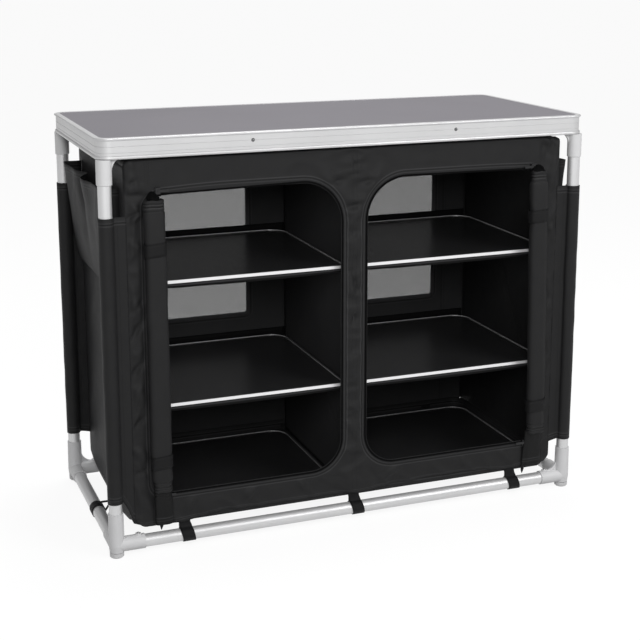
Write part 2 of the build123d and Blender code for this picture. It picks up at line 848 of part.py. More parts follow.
def shelf_sling(top):
    """Cloth shelf of the right column: the sheet, a sagging hem in front and a strip up the back."""
    sheet_top = top - rim_height - seat_gap
    x0 = cloth / 2
    x1 = cover_inner_x - sling_side_gap
    front = -shelf_depth / 2
    back = cover_inner_y - sling_back_gap
    hem_back = front + sling_hem_thickness + seam_gap
    strip_front = back - cloth - seam_gap
    sheet = block(x0, x1, hem_back, strip_front, sheet_top - cloth, sheet_top)
    low = sheet_top - sling_hem_drop
    middle = ((x0 + x1) / 2, low - sling_hem_sag)
    edge = ThreePointArc((x0, low), middle, (x1, low))
    sides = Polyline((x1, low), (x1, sheet_top), (x0, sheet_top), (x0, low))
    hem = front_sheet(make_face(edge + sides), front, sling_hem_thickness)
    strip = block(x0, x1, back - cloth, back, sheet_top - cloth, sheet_top + sling_back_rise)
    return group([sheet, hem, strip])


# Base straps

def base_strap():
    """A strap round a tube along X, its ends up to the hem, centred on the tube's axis in Y."""
    inner = tube_radius + seat_gap
    outer = inner + strap_thickness
    half = strap_width / 2
    band = extrude(Plane.YZ.offset(-half) * (Circle(outer) - Circle(inner)), amount=strap_width)
    band = Pos(0, 0, arm_axis_height) * band
    foot = arm_axis_height + inner + strap_thickness / 2
    return band + block(-half, half, -strap_thickness / 2, strap_thickness / 2, foot, hem_height)


def side_strap():
    """Right strap round its side tube, with a narrow tie up to the foot of the side wall."""
    inner = tube_radius + seat_gap
    outer = inner + strap_thickness
    half = strap_width / 2
    band = extrude(Plane.XZ.offset(-half) * (Circle(outer) - Circle(inner)), amount=strap_width)
    band = Pos(0, 0, arm_axis_height) * band
    low = arm_axis_height + outer - strap_thickness / 2
    wall_x = cover_half_width - leg_x
    tab_top = hem_height - side_hem_sag + side_tab_height
    tie = Polyline(
        (0, low + strap_thickness),
        (wall_x + strap_thickness, low + strap_thickness),
        (wall_x + strap_thickness, tab_top),
        (wall_x, tab_top),
        (wall_x, low),
        (0, low),
        close=True,
    )
    tie = extrude(Plane.XZ.offset(-side_tie_width / 2) * make_face(tie), amount=side_tie_width)
    return Pos(leg_x, side_strap_y, 0) * (band + tie)


# Writing the pieces

save("table_rail", table_rail())
save("table_board", table_board())
save("table_crossbars", group([table_crossbar(-crossbar_x), table_crossbar(crossbar_x)]))
save("table_rivets", table_rivets())
for corner, socket in four_corners(table_socket()).items():
    save(f"table_socket_{corner}", socket)

for corner, tube in four_corners(leg()).items():
    save(f"leg_{corner}", tube)
for quarters, (corner, (x, y)) in enumerate(leg_places.items()):
    save(f"base_connector_{corner}", Pos(x, y, 0) * base_connector(quarters))
save("foot_caps", group([Pos(x, y, 0) * foot_cap() for x, y in leg_places.values()]))
for name, side in (("front", -1), ("back", 1)):
    save(f"base_tube_{name}", cross_tube(side))
for name, side in (("left", -1), ("right", 1)):
    save(f"base_tube_{name}", side_tube(side))
for corner, button in four_corners(snap_button()).items():
    save(f"snap_button_{corner}", button)

save("front_panel", front_panel())
save("back_panel", back_panel())
save("window_nets", group(left_and_right(window_net()).values()))
save("roof_panel", roof_panel())
save("floor_panel", floor_panel())
save("centre_divider", centre_divider())
for side, wall in left_and_right(side_wall()).items():
    save(f"side_wall_{side}", wall)
for side, pocket in left_and_right(side_pocket()).items():
    save(f"side_pocket_{side}", pocket)
sleeves = four_corners(leg_sleeve())
for name in ("front", "back"):
    save(f"leg_sleeves_{name}", group([sleeves[f"{name}_left"], sleeves[f"{name}_right"]]))

for side, place in (("left", roll_left), ("right", roll_right)):
    save(f"rolled_door_{side}", rolled_door(place))
save("roll_ties", group(roll_ties(roll_left) + roll_ties(roll_right)))
save("zip_tracks", group(left_and_right(zip_track()).values()))
for level, z in slider_heights.items():
    for side, slider in left_and_right(zip_slider(z)).items():
        save(f"zip_slider_{side}_{level}", slider)

for level, top in shelf_tops.items():
    for side, board in left_and_right(shelf_board(top)).items():
        save(f"shelf_board_{side}_{level}", board)
    for side, rim in left_and_right(shelf_rim(top)).items():
        save(f"shelf_rim_{side}_{level}", rim)
slings = []
for level in ("middle", "upper"):
    slings += left_and_right(shelf_sling(shelf_tops[level])).values()
save("shelf_slings", group(slings))

straps = []
for x in strap_places:
    straps += [Pos(x, -leg_y, 0) * base_strap(), Pos(x, leg_y, 0) * base_strap()]
straps += left_and_right(side_strap()).values()
save("base_straps", group(straps))
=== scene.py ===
import bmesh
import bpy
import json
import math
from mathutils import Matrix, Vector, noise


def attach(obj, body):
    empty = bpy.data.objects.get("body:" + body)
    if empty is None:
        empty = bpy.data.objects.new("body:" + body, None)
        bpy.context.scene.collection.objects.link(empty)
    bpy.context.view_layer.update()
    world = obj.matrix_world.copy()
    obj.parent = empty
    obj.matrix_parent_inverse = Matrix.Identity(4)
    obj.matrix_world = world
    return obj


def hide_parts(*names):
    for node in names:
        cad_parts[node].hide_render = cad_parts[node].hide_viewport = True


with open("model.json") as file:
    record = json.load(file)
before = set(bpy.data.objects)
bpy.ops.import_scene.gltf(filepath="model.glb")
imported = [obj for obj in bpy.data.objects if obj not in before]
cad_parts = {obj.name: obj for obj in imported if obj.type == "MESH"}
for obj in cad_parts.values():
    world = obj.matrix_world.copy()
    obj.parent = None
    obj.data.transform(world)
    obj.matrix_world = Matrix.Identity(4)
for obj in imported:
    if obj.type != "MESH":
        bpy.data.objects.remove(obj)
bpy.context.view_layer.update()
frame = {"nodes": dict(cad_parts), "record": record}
scene = bpy.context.scene
mm = 0.001
clothThick = 1.2 * mm
sides = {-1: "left", 1: "right"}

body = dict(  # the hung cupboard, in mm, as are all settings below but for materials, lights and camera
    halfWidth=450.0, halfDepth=203.9, faceY=204.5, top=757.0, hem=55.0,
    shoulder=11.0, corner=18.0, wallX=449.4, cornerRise=20.0, hemZone=45.0,
)
doors = dict(
    inner=28.0, outer=407.0, bottom=115.0, top=695.0,
    upperCorner=80.0, lowerCorner=62.0, outerCorner=24.0, leftDroop=8.0, rightDroop=3.5,
    droopFrom=240.0, droopWide=165.0, droopPeak=707.0, droopFoot=560.0, droopRise=130.0,
)
print("frame loaded")


def clamp(value, low=0.0, high=1.0):
    return min(high, max(low, value))


def hill(away, wide):  # 1 at the middle, fading to both sides
    return math.exp(-(away / wide) ** 2)


def roundedDistance(u, v, box, nearRadius, farRadius):  # from a box with rounded corners, negative inside it
    u0, v0, u1, v1 = box
    middleU, middleV = (u0 + u1) / 2, (v0 + v1) / 2
    r = nearRadius if u < middleU else farRadius
    qu = abs(u - middleU) - (u1 - u0) / 2 + r
    qv = abs(v - middleV) - (v1 - v0) / 2 + r
    return math.hypot(max(qu, 0), max(qv, 0)) + min(max(qu, qv), 0) - r


def clothGrid(u0, v0, u1, v1, cell):
    bm = bmesh.new()
    across, up = max(2, round((u1 - u0) / cell)), max(2, round((v1 - v0) / cell))
    bmesh.ops.create_grid(bm, x_segments=across, y_segments=up, size=0.5)
    bmesh.ops.scale(bm, vec=(u1 - u0, v1 - v0, 1), verts=bm.verts)
    bmesh.ops.translate(bm, vec=((u0 + u1) / 2, (v0 + v1) / 2, 0), verts=bm.verts)
    return bm


def snapEdge(bm, distance, reach):  # draws the open edge onto the outline
    for vert in bm.verts:
        if not vert.is_boundary:
            continue
        for turn in range(2):
            here = distance(vert.co.x, vert.co.y)
            if abs(here) > reach:
                break
            slopeU = distance(vert.co.x + 0.5, vert.co.y) - distance(vert.co.x - 0.5, vert.co.y)
            slopeV = distance(vert.co.x, vert.co.y + 0.5) - distance(vert.co.x, vert.co.y - 0.5)
            length = math.hypot(slopeU, slopeV) or 1
            vert.co.x -= here * slopeU / length
            vert.co.y -= here * slopeV / length


def cutAway(bm, distance, cell, inside):  # opens a hole, or trims what lies outside the outline
    sign = -1 if inside else 1
    gone = [face for face in bm.faces if sign * distance(*face.calc_center_median().xy) > 0]
    bmesh.ops.delete(bm, geom=gone, context="FACES")
    snapEdge(bm, distance, cell)


def markLines(bm, hemDistance, seamDistance):  # mm from a hem or a seam, for the stitching in the material
    hemLayer = bm.verts.layers.float.new("hem")
    seamLayer = bm.verts.layers.float.new("seam")
    for vert in bm.verts:
        vert[hemLayer] = clamp(hemDistance(vert.co.x, vert.co.y), 0.0, 60.0)
        vert[seamLayer] = min(60.0, abs(seamDistance(vert.co.x, vert.co.y)))


def noSeam(u, v):
    return 60.0


def ripple(u, v, size, shift):
    return noise.noise(Vector((u / size + shift, v / size - shift, shift * 1.7)))


def crumple(u, v, size, shift):  # sharp ridges, as in stiff coated cloth
    warp = 0.7 * ripple(u, v, 1.8 * size, shift + 4.0)
    flow = noise.noise(Vector((u / size + warp + shift, v / size - warp, shift)))
    return max(0.0, 1 - 2.4 * abs(flow)) ** 2


def creaseLift(u, v, creases):  # each crease: start, end, half width, height
    lift = 0.0
    for u0, v0, u1, v1, wide, deep in creases:
        run = Vector((u1 - u0, v1 - v0))
        along = clamp((Vector((u - u0, v - v0)).dot(run)) / run.length_squared)
        off = math.hypot(u - u0 - run.x * along, v - v0 - run.y * along)
        if off < 3 * wide:
            lift += deep * hill(off, wide) * (0.2 + 0.8 * math.sin(math.pi * along))
    return lift


def onlyKind(geom, kind):
    return [part for part in geom if isinstance(part, kind)]


def wireEdges(bm):
    return [edge for edge in bm.edges if edge.is_wire]


def extrudeRows(bm, level, step, count):  # sweeps a line of edges, row by row
    for row in range(count):
        made = bmesh.ops.extrude_edge_only(bm, edges=level)["geom"]
        bmesh.ops.translate(bm, vec=step, verts=onlyKind(made, bmesh.types.BMVert))
        level = onlyKind(made, bmesh.types.BMEdge)
    return level


def growLine(bm, tip, points):  # a line of edges from one vertex through the points
    for point in points:
        tip = bmesh.ops.extrude_vert_indiv(bm, verts=[tip])["verts"][0]
        tip.co = Vector(point)


def cutAlong(bm, place, normal, clear=False):
    bmesh.ops.bisect_plane(bm, geom=bm.verts[:] + bm.edges[:] + bm.faces[:], plane_co=place, plane_no=normal,
                           clear_outer=clear)


def faceOutward(bm):
    bmesh.ops.recalc_face_normals(bm, faces=bm.faces)


def placeAll(bm, place):
    for vert in bm.verts:
        vert.co = Vector(place(*vert.co)) * mm


def joinInto(whole, bm):
    part = bpy.data.meshes.new("part")
    bm.to_mesh(part)
    whole.from_mesh(part)
    bm.free()
    bpy.data.meshes.remove(part)


def addPiece(name, bm, material, replaced, wall=clothThick, smooth=True, bodyName="cupboard"):
    bm.normal_update()
    mesh = bpy.data.meshes.new(name)
    bm.to_mesh(mesh)
    bm.free()
    mesh.polygons.foreach_set("use_smooth", [smooth] * len(mesh.polygons))
    mesh.materials.append(material)
    piece = bpy.data.objects.new(name, mesh)
    scene.collection.objects.link(piece)
    if wall:
        thick = piece.modifiers.new("wall", "SOLIDIFY")
        thick.thickness = wall
        thick.offset = 0
        thick.use_even_offset = False
    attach(piece, bodyName)
    if replaced:
        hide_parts(*replaced)
    return piece


def sided(stem, side):
    return stem + sides[side].capitalize()


def newGroup(name, inputs, outputs):
    group = bpy.data.node_groups.new(name, "ShaderNodeTree")
    for label, value in inputs.items():
        socket = group.interface.new_socket(label, in_out="INPUT", socket_type="NodeSocketFloat")
        socket.default_value = value
    for label in outputs:
        group.interface.new_socket(label, in_out="OUTPUT", socket_type="NodeSocketFloat")
    return group, group.nodes.new("NodeGroupInput").outputs, group.nodes.new("NodeGroupOutput").inputs


def setInputs(node, values):
    for label, value in values.items():
        node.inputs[label].default_value = value


def mathNode(tree, operation, first, second=None, limited=False):
    node = tree.nodes.new("ShaderNodeMath")
    node.operation = operation
    node.use_clamp = limited
    for socket, value in zip(node.inputs, (first, second)):
        if isinstance(value, (int, float)):
            socket.default_value = value
        elif value is not None:
            tree.links.new(value, socket)
    return node.outputs[0]


def plus(tree, first, second):
    return mathNode(tree, "ADD", first, second)


def minus(tree, first, second, limited=False):
    return mathNode(tree, "SUBTRACT", first, second, limited)


def times(tree, first, second, limited=False):
    return mathNode(tree, "MULTIPLY", first, second, limited)


def largest(tree, first, second):
    return mathNode(tree, "MAXIMUM", first, second)


def bandNode(tree, distance, centre, halfWidth):  # 1 on a line at that distance, fading to 0
    off = mathNode(tree, "ABSOLUTE", minus(tree, distance, centre))
    return minus(tree, 1.0, mathNode(tree, "DIVIDE", off, halfWidth), limited=True)


def objectAxes(tree):
    where = tree.nodes.new("ShaderNodeTexCoord").outputs["Object"]
    split = tree.nodes.new("ShaderNodeSeparateXYZ")
    tree.links.new(where, split.inputs[0])
    return where, split.outputs


def attributeValue(tree, name):
    node = tree.nodes.new("ShaderNodeAttribute")
    node.attribute_name = name
    return node.outputs["Fac"]


def noiseNode(tree, where, detail):
    node = tree.nodes.new("ShaderNodeTexNoise")
    node.inputs["Detail"].default_value = detail
    tree.links.new(where, node.inputs["Vector"])
    return node


def makeWeave():
    group, given, out = newGroup("plainWeave", {"Threads": 1500.0, "Worn": 0.3}, ["Height", "Fleck"])
    where, axes = objectAxes(group)
    flat = plus(group, axes["X"], axes["Y"])
    weft = mathNode(group, "SINE", times(group, flat, given["Threads"]))
    warp = mathNode(group, "SINE", times(group, axes["Z"], given["Threads"]))
    cross = times(group, weft, warp)
    group.links.new(plus(group, times(group, cross, 0.5), 0.5), out["Height"])
    cloud = noiseNode(group, where, 6.0)
    cloud.inputs["Scale"].default_value = 38.0
    fleck = times(group, cloud.outputs["Fac"], given["Worn"])
    group.links.new(plus(group, fleck, times(group, cross, 0.08)), out["Fleck"])
    return group


def makeStitching():  # distances are in mm, from the marks on the mesh
    group, given, out = newGroup("stitching", {"Hem Width": 11.0, "Stitch Length": 1600.0},
                                 ["Height", "Painted Fold Highlight", "Shade"])
    axes = objectAxes(group)[1]
    hemAt, seamAt = attributeValue(group, "hem"), attributeValue(group, "seam")
    sewn = bandNode(group, hemAt, given["Hem Width"], 1.6)
    outerFold = bandNode(group, hemAt, plus(group, given["Hem Width"], 2.8), 1.6)
    innerFold = bandNode(group, hemAt, minus(group, given["Hem Width"], 2.8), 1.4)
    # painted highlight: the fold mask lightens the colour on the folds either side of the hem stitch
    fold = largest(group, outerFold, times(group, innerFold, 0.7))
    edge = bandNode(group, hemAt, 0.6, 1.6)
    join = bandNode(group, seamAt, 0.0, 1.8)
    topStitch = bandNode(group, seamAt, 4.2, 1.1)
    # the groove mask also darkens the colour: painted shade in the stitch grooves and seam joins
    groove = largest(group, largest(group, sewn, times(group, topStitch, 0.6)), join)
    raised = mathNode(group, "LESS_THAN", hemAt, given["Hem Width"])
    height = minus(group, times(group, raised, 0.5), groove)
    group.links.new(plus(group, height, times(group, plus(group, edge, fold), 0.6)), out["Height"])
    flat = plus(group, plus(group, axes["X"], axes["Y"]), axes["Z"])
    dash = mathNode(group, "SINE", times(group, flat, given["Stitch Length"]))
    gaps = times(group, mathNode(group, "GREATER_THAN", dash, 0.2), 0.25)
    group.links.new(minus(group, groove, gaps, limited=True), out["Shade"])
    group.links.new(fold, out["Painted Fold Highlight"])
    return group


def makeWear():
    group, given, out = newGroup("surfaceWear", {"Cloud Size": 20.0, "Streak": 1.0}, ["Cloud", "Grain"])
    where = objectAxes(group)[0]
    cloud = noiseNode(group, where, 5.0)
    group.links.new(given["Cloud Size"], cloud.inputs["Scale"])
    group.links.new(cloud.outputs["Fac"], out["Cloud"])
    stretch = group.nodes.new("ShaderNodeVectorMath")
    stretch.operation = "MULTIPLY"
    stretch.inputs[1].default_value = (60.0, 60.0, 60.0)
    group.links.new(where, stretch.inputs[0])
    grain = noiseNode(group, stretch.outputs[0], 3.0)
    group.links.new(times(group, given["Streak"], 12.0), grain.inputs["Scale"])
    group.links.new(grain.outputs["Fac"], out["Grain"])
    return group


weaveGroup, stitchGroup, wearGroup = makeWeave(), makeStitching(), makeWear()


def startMaterial(name):
    material = bpy.data.materials.new(name)
    material.use_nodes = True
    tree = material.node_tree
    return material, tree, tree.nodes["Principled BSDF"]


def placeGroup(tree, group, values):
    node = tree.nodes.new("ShaderNodeGroup")
    node.node_tree = group
    setInputs(node, values)
    return node


def mixColours(tree, mask, first, second):  # each a colour, or the socket of one
    mix = tree.nodes.new("ShaderNodeMix")
    mix.data_type = "RGBA"
    tree.links.new(mask, mix.inputs["Factor"])
    for label, tone in (("A", first), ("B", second)):
        if isinstance(tone, tuple):
            mix.inputs[label].default_value = (*tone, 1)
        else:
            tree.links.new(tone, mix.inputs[label])
    return mix.outputs["Result"]


def addBump(tree, shader, height, strength, distance):
    bump = tree.nodes.new("ShaderNodeBump")
    setInputs(bump, {"Strength": strength, "Distance": distance})
    tree.links.new(height, bump.inputs["Height"])
    tree.links.new(bump.outputs["Normal"], shader.inputs["Normal"])


def shades(dark, darkBlue, light, lightBlue):  # near-greys: red and green alike, blue a little more
    return {"dark": (dark, dark, darkBlue), "light": (light, light, lightBlue)}


def clothMaterial(name, look, sewn=True):
    material, tree, shader = startMaterial(name)
    weave = placeGroup(tree, weaveGroup, {"Threads": look["threads"], "Worn": 0.5})
    colour = mixColours(tree, weave.outputs["Fleck"], look["dark"], look["light"])
    height = times(tree, weave.outputs["Height"], look["weaveDepth"])
    if sewn:
        stitch = placeGroup(tree, stitchGroup, {"Hem Width": look["hem"]})
        # painted shade darkens the stitch grooves and seams, painted highlight lightens the folds beside the hem
        for mask, share, tone in (("Shade", 0.75, look["shade"]), ("Painted Fold Highlight", 0.55, look["foldHighlight"])):
            colour = mixColours(tree, times(tree, stitch.outputs[mask], share), colour, tone)
        height = plus(tree, height, stitch.outputs["Height"])
    tree.links.new(colour, shader.inputs["Base Color"])
    setInputs(shader, {
        "Roughness": look["rough"], "Specular IOR Level": look["gloss"], "Sheen Weight": look["sheen"],
        "Sheen Roughness": 0.5, "Sheen Tint": (0.6, 0.6, 0.64, 1),
    })
    addBump(tree, shader, height, 0.5, 0.0006)
    return material


# shade and foldHighlight are painted shade for the stitch grooves and painted highlight for the hem folds
coverLook = dict(
    **shades(0.0115, 0.0119, 0.0205, 0.021), foldHighlight=(0.055, 0.055, 0.057), shade=(0.002, 0.002, 0.002),
    threads=7200.0, weaveDepth=0.25, hem=11.0, rough=0.58, gloss=0.16, sheen=0.02,
)
# the inside walls take a lighter copy of the cover cloth: painted light that lifts the shaded interior
innerLitLook = dict(coverLook, **shades(0.028, 0.029, 0.042, 0.043))
# the slings take a darker copy of the cover cloth: painted shade for their hems in the shadow under the shelf rims
slingShadedLook = dict(coverLook, **shades(0.004, 0.0042, 0.008, 0.0083), gloss=0.08, hem=1.0)
webLook = dict(coverLook, **shades(0.004, 0.0045, 0.010, 0.011), threads=4200.0, weaveDepth=0.8)
zipLook = dict(webLook, **shades(0.0015, 0.0016, 0.004, 0.0042), threads=5200.0, weaveDepth=0.6, gloss=0.04)
tieLook = dict(webLook, **shades(0.005, 0.0053, 0.010, 0.0105))
coverCloth = clothMaterial("coverCloth", coverLook)
webbing = clothMaterial("webbing", webLook, sewn=False)
# lighter copy of the cover cloth: painted light for the interior
innerClothPaintedLight = clothMaterial("innerClothPaintedLight", innerLitLook)
# darker copy of the cover cloth: painted shade
slingClothPaintedShade = clothMaterial("slingClothPaintedShade", slingShadedLook)
zipTape = clothMaterial("zipTape", zipLook, sewn=False)
tieTape = clothMaterial("tieTape", tieLook, sewn=False)


def netMaterial(look):
    material, tree, shader = startMaterial("windowNet")
    axes = objectAxes(tree)[1]
    strands = []
    for axis in ("X", "Z"):
        turn = mathNode(tree, "FRACT", times(tree, axes[axis], 1 / look["pitch"]))
        strands.append(mathNode(tree, "LESS_THAN", turn, look["strand"] / look["pitch"]))
    band = mathNode(tree, "SINE", times(tree, axes["X"], look["bands"]))
    shade = plus(tree, times(tree, band, 0.03), 0.5)
    tree.links.new(mixColours(tree, shade, look["dark"], look["light"]), shader.inputs["Base Color"])
    tree.links.new(largest(tree, *strands), shader.inputs["Alpha"])
    shader.inputs["Roughness"].default_value = 0.7
    return material


netLook = dict(**shades(0.05, 0.052, 0.10, 0.104), pitch=0.0012, strand=0.00062, bands=210.0)
windowNet = netMaterial(netLook)


def hardMaterial(name, look):
    material, tree, shader = startMaterial(name)
    wear = placeGroup(tree, wearGroup, {"Cloud Size": look["cloud"], "Streak": look["streak"]}).outputs
    tree.links.new(mixColours(tree, wear["Cloud"], look["dark"], look["light"]), shader.inputs["Base Color"])
    rough = plus(tree, times(tree, wear["Grain"], look["roughSpread"]), look["rough"])
    tree.links.new(rough, shader.inputs["Roughness"])
    setInputs(shader, {"Metallic": look["metal"], "Specular IOR Level": 0.5})
    addBump(tree, shader, wear["Grain"], look["bump"], 0.0002)
    return material


railLook = dict(**shades(0.54, 0.545, 0.66, 0.665), cloud=9.0, streak=2.0, rough=0.36, roughSpread=0.12,
            metal=0.5, bump=0.12)
hardLooks = {  # CAD nodes that stay, by material slot: what differs from the rail
    "rail_aluminium": {},
    "frame_tube": shades(0.60, 0.605, 0.70, 0.705),
    # the darker rivet colour is painted shade, for the shadowed edge round each head
    "rivet_metal": {**shades(0.10, 0.103, 0.16, 0.163), "rough": 0.2, "metal": 0.8},
    "button_steel": {"rough": 0.18, "metal": 1.0},
    "zip_metal": {**shades(0.02, 0.021, 0.045, 0.046), "rough": 0.3, "metal": 0.8},
    "shelf_rim": {**shades(0.80, 0.81, 0.92, 0.93), "rough": 0.30, "metal": 0.35},
    "socket_plastic": {**shades(0.60, 0.605, 0.68, 0.685), "metal": 0.0, "cloud": 30.0},
    "connector_plastic": {**shades(0.58, 0.585, 0.66, 0.67), "metal": 0.0, "rough": 0.38, "cloud": 30.0},
    "foot_plastic": {**shades(0.54, 0.545, 0.62, 0.625), "metal": 0.0, "rough": 0.5, "cloud": 40.0},
    "worktop_board": {"dark": (0.140, 0.131, 0.150), "light": (0.170, 0.160, 0.182), "metal": 0.0, "rough": 0.34,
                      "roughSpread": 0.1, "cloud": 5.0, "streak": 6.0, "bump": 0.2},
    "shelf_board": {**shades(0.015, 0.0155, 0.026, 0.027), "metal": 0.0, "rough": 0.22, "cloud": 12.0, "bump": 0.05},
}
looks = {}
for slotName, change in hardLooks.items():
    first, second = slotName.split("_")
    looks[slotName] = hardMaterial(first + second.capitalize(), dict(railLook, **change))


def shadeUpperFaces(material, tone):  # painted shade: faces of the rim that point up are darkened, so its upper lip reads darker than its outer face
    tree = material.node_tree
    base = tree.nodes["Principled BSDF"].inputs["Base Color"]
    given = base.links[0].from_socket
    split = tree.nodes.new("ShaderNodeSeparateXYZ")
    tree.links.new(tree.nodes.new("ShaderNodeNewGeometry").outputs["Normal"], split.inputs[0])
    upper = times(tree, minus(tree, split.outputs["Z"], 0.5), 4.0, limited=True)
    tree.links.new(mixColours(tree, upper, given, tone), base)


# painted shade on the rim's upper lip
shadeUpperFaces(looks["shelf_rim"], (0.10, 0.10, 0.102))
slotOf = {part["node"]: part["material_slot"] for part in frame["record"]["subparts"]}
for node, item in frame["nodes"].items():
    if slotOf.get(node) in looks:
        item.data.materials.clear()
        item.data.materials.append(looks[slotOf[node]])
print("materials ready")


def bodyBox():
    return (-body["halfWidth"], body["hem"], body["halfWidth"], body["top"])


def mirroredBox(side, look):
    near, far = sorted((side * look["inner"], side * look["outer"]))
    return (near, look["bottom"], far, look["top"])


def doorDistance(u, v, side):
    inner = doors["upperCorner"] if v > (doors["bottom"] + doors["top"]) / 2 else doors["lowerCorner"]
    corners = (doors["outerCorner"], inner) if side < 0 else (inner, doors["outerCorner"])
    return roundedDistance(u, v, mirroredBox(side, doors), *corners)


def nearestDoor(u, v):
    return min(doorDistance(u, v, side) for side in sides)


def bodyDistance(u, v):
    corner = body["shoulder"] if v > 400 else body["corner"]
    return roundedDistance(u, v, bodyBox(), corner, corner)


hemLine = (  # x and how far the lower edge rises there
    (-450, 6), (-425, -3), (-395, -5), (-355, -4), (-273, 6), (-188, 3), (-100, 4), (-3, 2), (106, 8),
    (196, 11), (288, 9), (345, 0), (375, 4), (420, 6), (450, 10),
)


def hemRise(u, v):
    low = clamp((body["hem"] + body["hemZone"] - v) / body["hemZone"])
    for (u0, rise0), (u1, rise1) in zip(hemLine[:-1], hemLine[1:]):
        if u0 <= u <= u1:
            share = (u - u0) / (u1 - u0)
            return (rise0 + (rise1 - rise0) * share * share * (3 - 2 * share)) * low * low
    return 0.0


def droop(u, v):  # the upper edge of each opening sinks towards its outer end
    most = doors["leftDroop"] if u < 0 else doors["rightDroop"]
    share = clamp((abs(u) - doors["droopFrom"]) / doors["droopWide"])
    above = (body["top"] - v) / (body["top"] - doors["droopPeak"])
    near = above if v > doors["droopPeak"] else (v - doors["droopFoot"]) / doors["droopRise"]
    return most * share * share * clamp(near)


frontLook = dict(
    cell=4.0, soft=1.3, flatHem=12.0, least=-4.0, most=7.0, creaseGain=3.8,
    sideFrom=395.0, postHalf=75.0, lowTop=135.0, highFoot=700.0, rollX=400.0, rollWide=24.0,
    pleatX=434.0, pleatFoot=733.0, pleatDeep=7.5,
)
frontCreases = [
    (-12, 560, 14, 590, 7, 1.6), (-18, 600, 10, 640, 8, 1.8), (-14, 470, 16, 500, 6, 1.3),
    (-16, 250, 15, 230, 7, 1.5), (-20, 205, 18, 190, 8, 1.8), (-10, 330, 12, 352, 6, 1.2),
    (-70, 716, -20, 640, 9, 1.8), (60, 722, 18, 655, 9, 1.6), (-30, 700, 30, 700, 7, 1.2),
    (-60, 100, -15, 175, 9, 1.6), (70, 96, 20, 170, 9, 1.7), (-28, 152, 28, 146, 6, 1.2),
    (-330, 100, -352, 70, 7, 1.8), (-205, 108, -228, 76, 7, 1.8), (-120, 106, -100, 74, 6, 1.4),
    (110, 112, 60, 70, 8, 1.6), (235, 104, 262, 74, 7, 1.4), (330, 106, 352, 78, 7, 1.5),
    (-445, 742, -410, 700, 8, 2.0), (-440, 690, -412, 655, 6, 1.8), (-446, 650, -415, 668, 5, 1.6),
    (-440, 610, -414, 590, 7, 1.5), (-446, 500, -418, 470, 8, 1.6), (-442, 330, -412, 290, 9, 1.8),
    (-446, 210, -415, 180, 8, 1.8), (-440, 120, -410, 80, 9, 2.2), (-425, 740, -425, 80, 9, 0.9),
    (448, 748, 404, 752, 6, 2.4), (404, 752, 430, 722, 6, -2.6), (409, 752, 410, 702, 3, -2.4),
    (418, 752, 419, 702, 3, -2.4), (440, 720, 425, 640, 8, 2.2), (-448, 717, -424, 727, 4, -2.2),
    (-424, 727, -416, 716, 4, -1.8), (-450, 702, -413, 700, 4, -2.0), (-446, 735, -436, 700, 5, 1.8),
    (-447, 654, -420, 671, 4, -2.2), (-448, 420, -420, 458, 6, -2.4), (-446, 470, -418, 500, 5, -1.6),
    (-448, 350, -418, 385, 6, -1.8), (-446, 250, -418, 275, 5, -1.6), (-446, 160, -416, 166, 5, -1.6),
    (-2, 740, 0, 712, 3, -2.0), (-6, 520, 6, 470, 4, -2.0), (-8, 400, 8, 440, 4, -1.6),
    (-55, 690, -5, 702, 5, -1.5), (55, 694, 6, 690, 5, -1.4), (-24, 640, 20, 652, 5, -1.4),
    (446, 610, 415, 580, 7, 1.6), (444, 560, 418, 590, 6, 1.4), (445, 420, 415, 380, 8, 1.5),
    (444, 300, 416, 262, 8, 1.6), (446, 200, 414, 160, 8, 1.8), (440, 130, 405, 84, 9, 2.0),
]


def frontLift(u, v):
    look = frontLook
    lift = look["soft"] * ripple(u, v, 90.0, 3.1) + 0.5 * ripple(u, v, 26.0, 7.7)
    outside = max(0.0, (abs(u) - look["sideFrom"]) / (body["halfWidth"] - look["sideFrom"]))
    lift += outside * (6.5 * crumple(u * 1.5, v * 0.8, 38.0, 1.3) + 2.4 * ripple(u, v, 16.0, 2.2))
    post = max(0.0, 1 - abs(u) / look["postHalf"])
    lift += post * (7.0 * crumple(u * 0.45, v, 34.0, 5.2) + 2.2 * ripple(u * 0.5, v, 12.0, 4.1))
    below = max(0.0, (look["lowTop"] - v) / (look["lowTop"] - body["hem"]))
    lift += 5.2 * below * crumple(u * 0.8 + 0.6 * v, v * 0.5, 46.0, 9.9)
    above = max(0.0, (v - look["highFoot"]) / (body["top"] - look["highFoot"]))
    lift += 2.2 * above * crumple(u * 0.5, v, 50.0, 6.6)
    lift -= 1.2 * hill(u, 4) + 0.9 * hill(abs(u) - look["rollX"], 3)  # seams
    return lift + look["creaseGain"] * creaseLift(u, v, frontCreases)


def tuckDepth(u, v):  # the pleat under the upper right corner
    half = 0.62 * (v - frontLook["pleatFoot"])
    return frontLook["pleatDeep"] * clamp((half - abs(u - frontLook["pleatX"])) / 3.5)


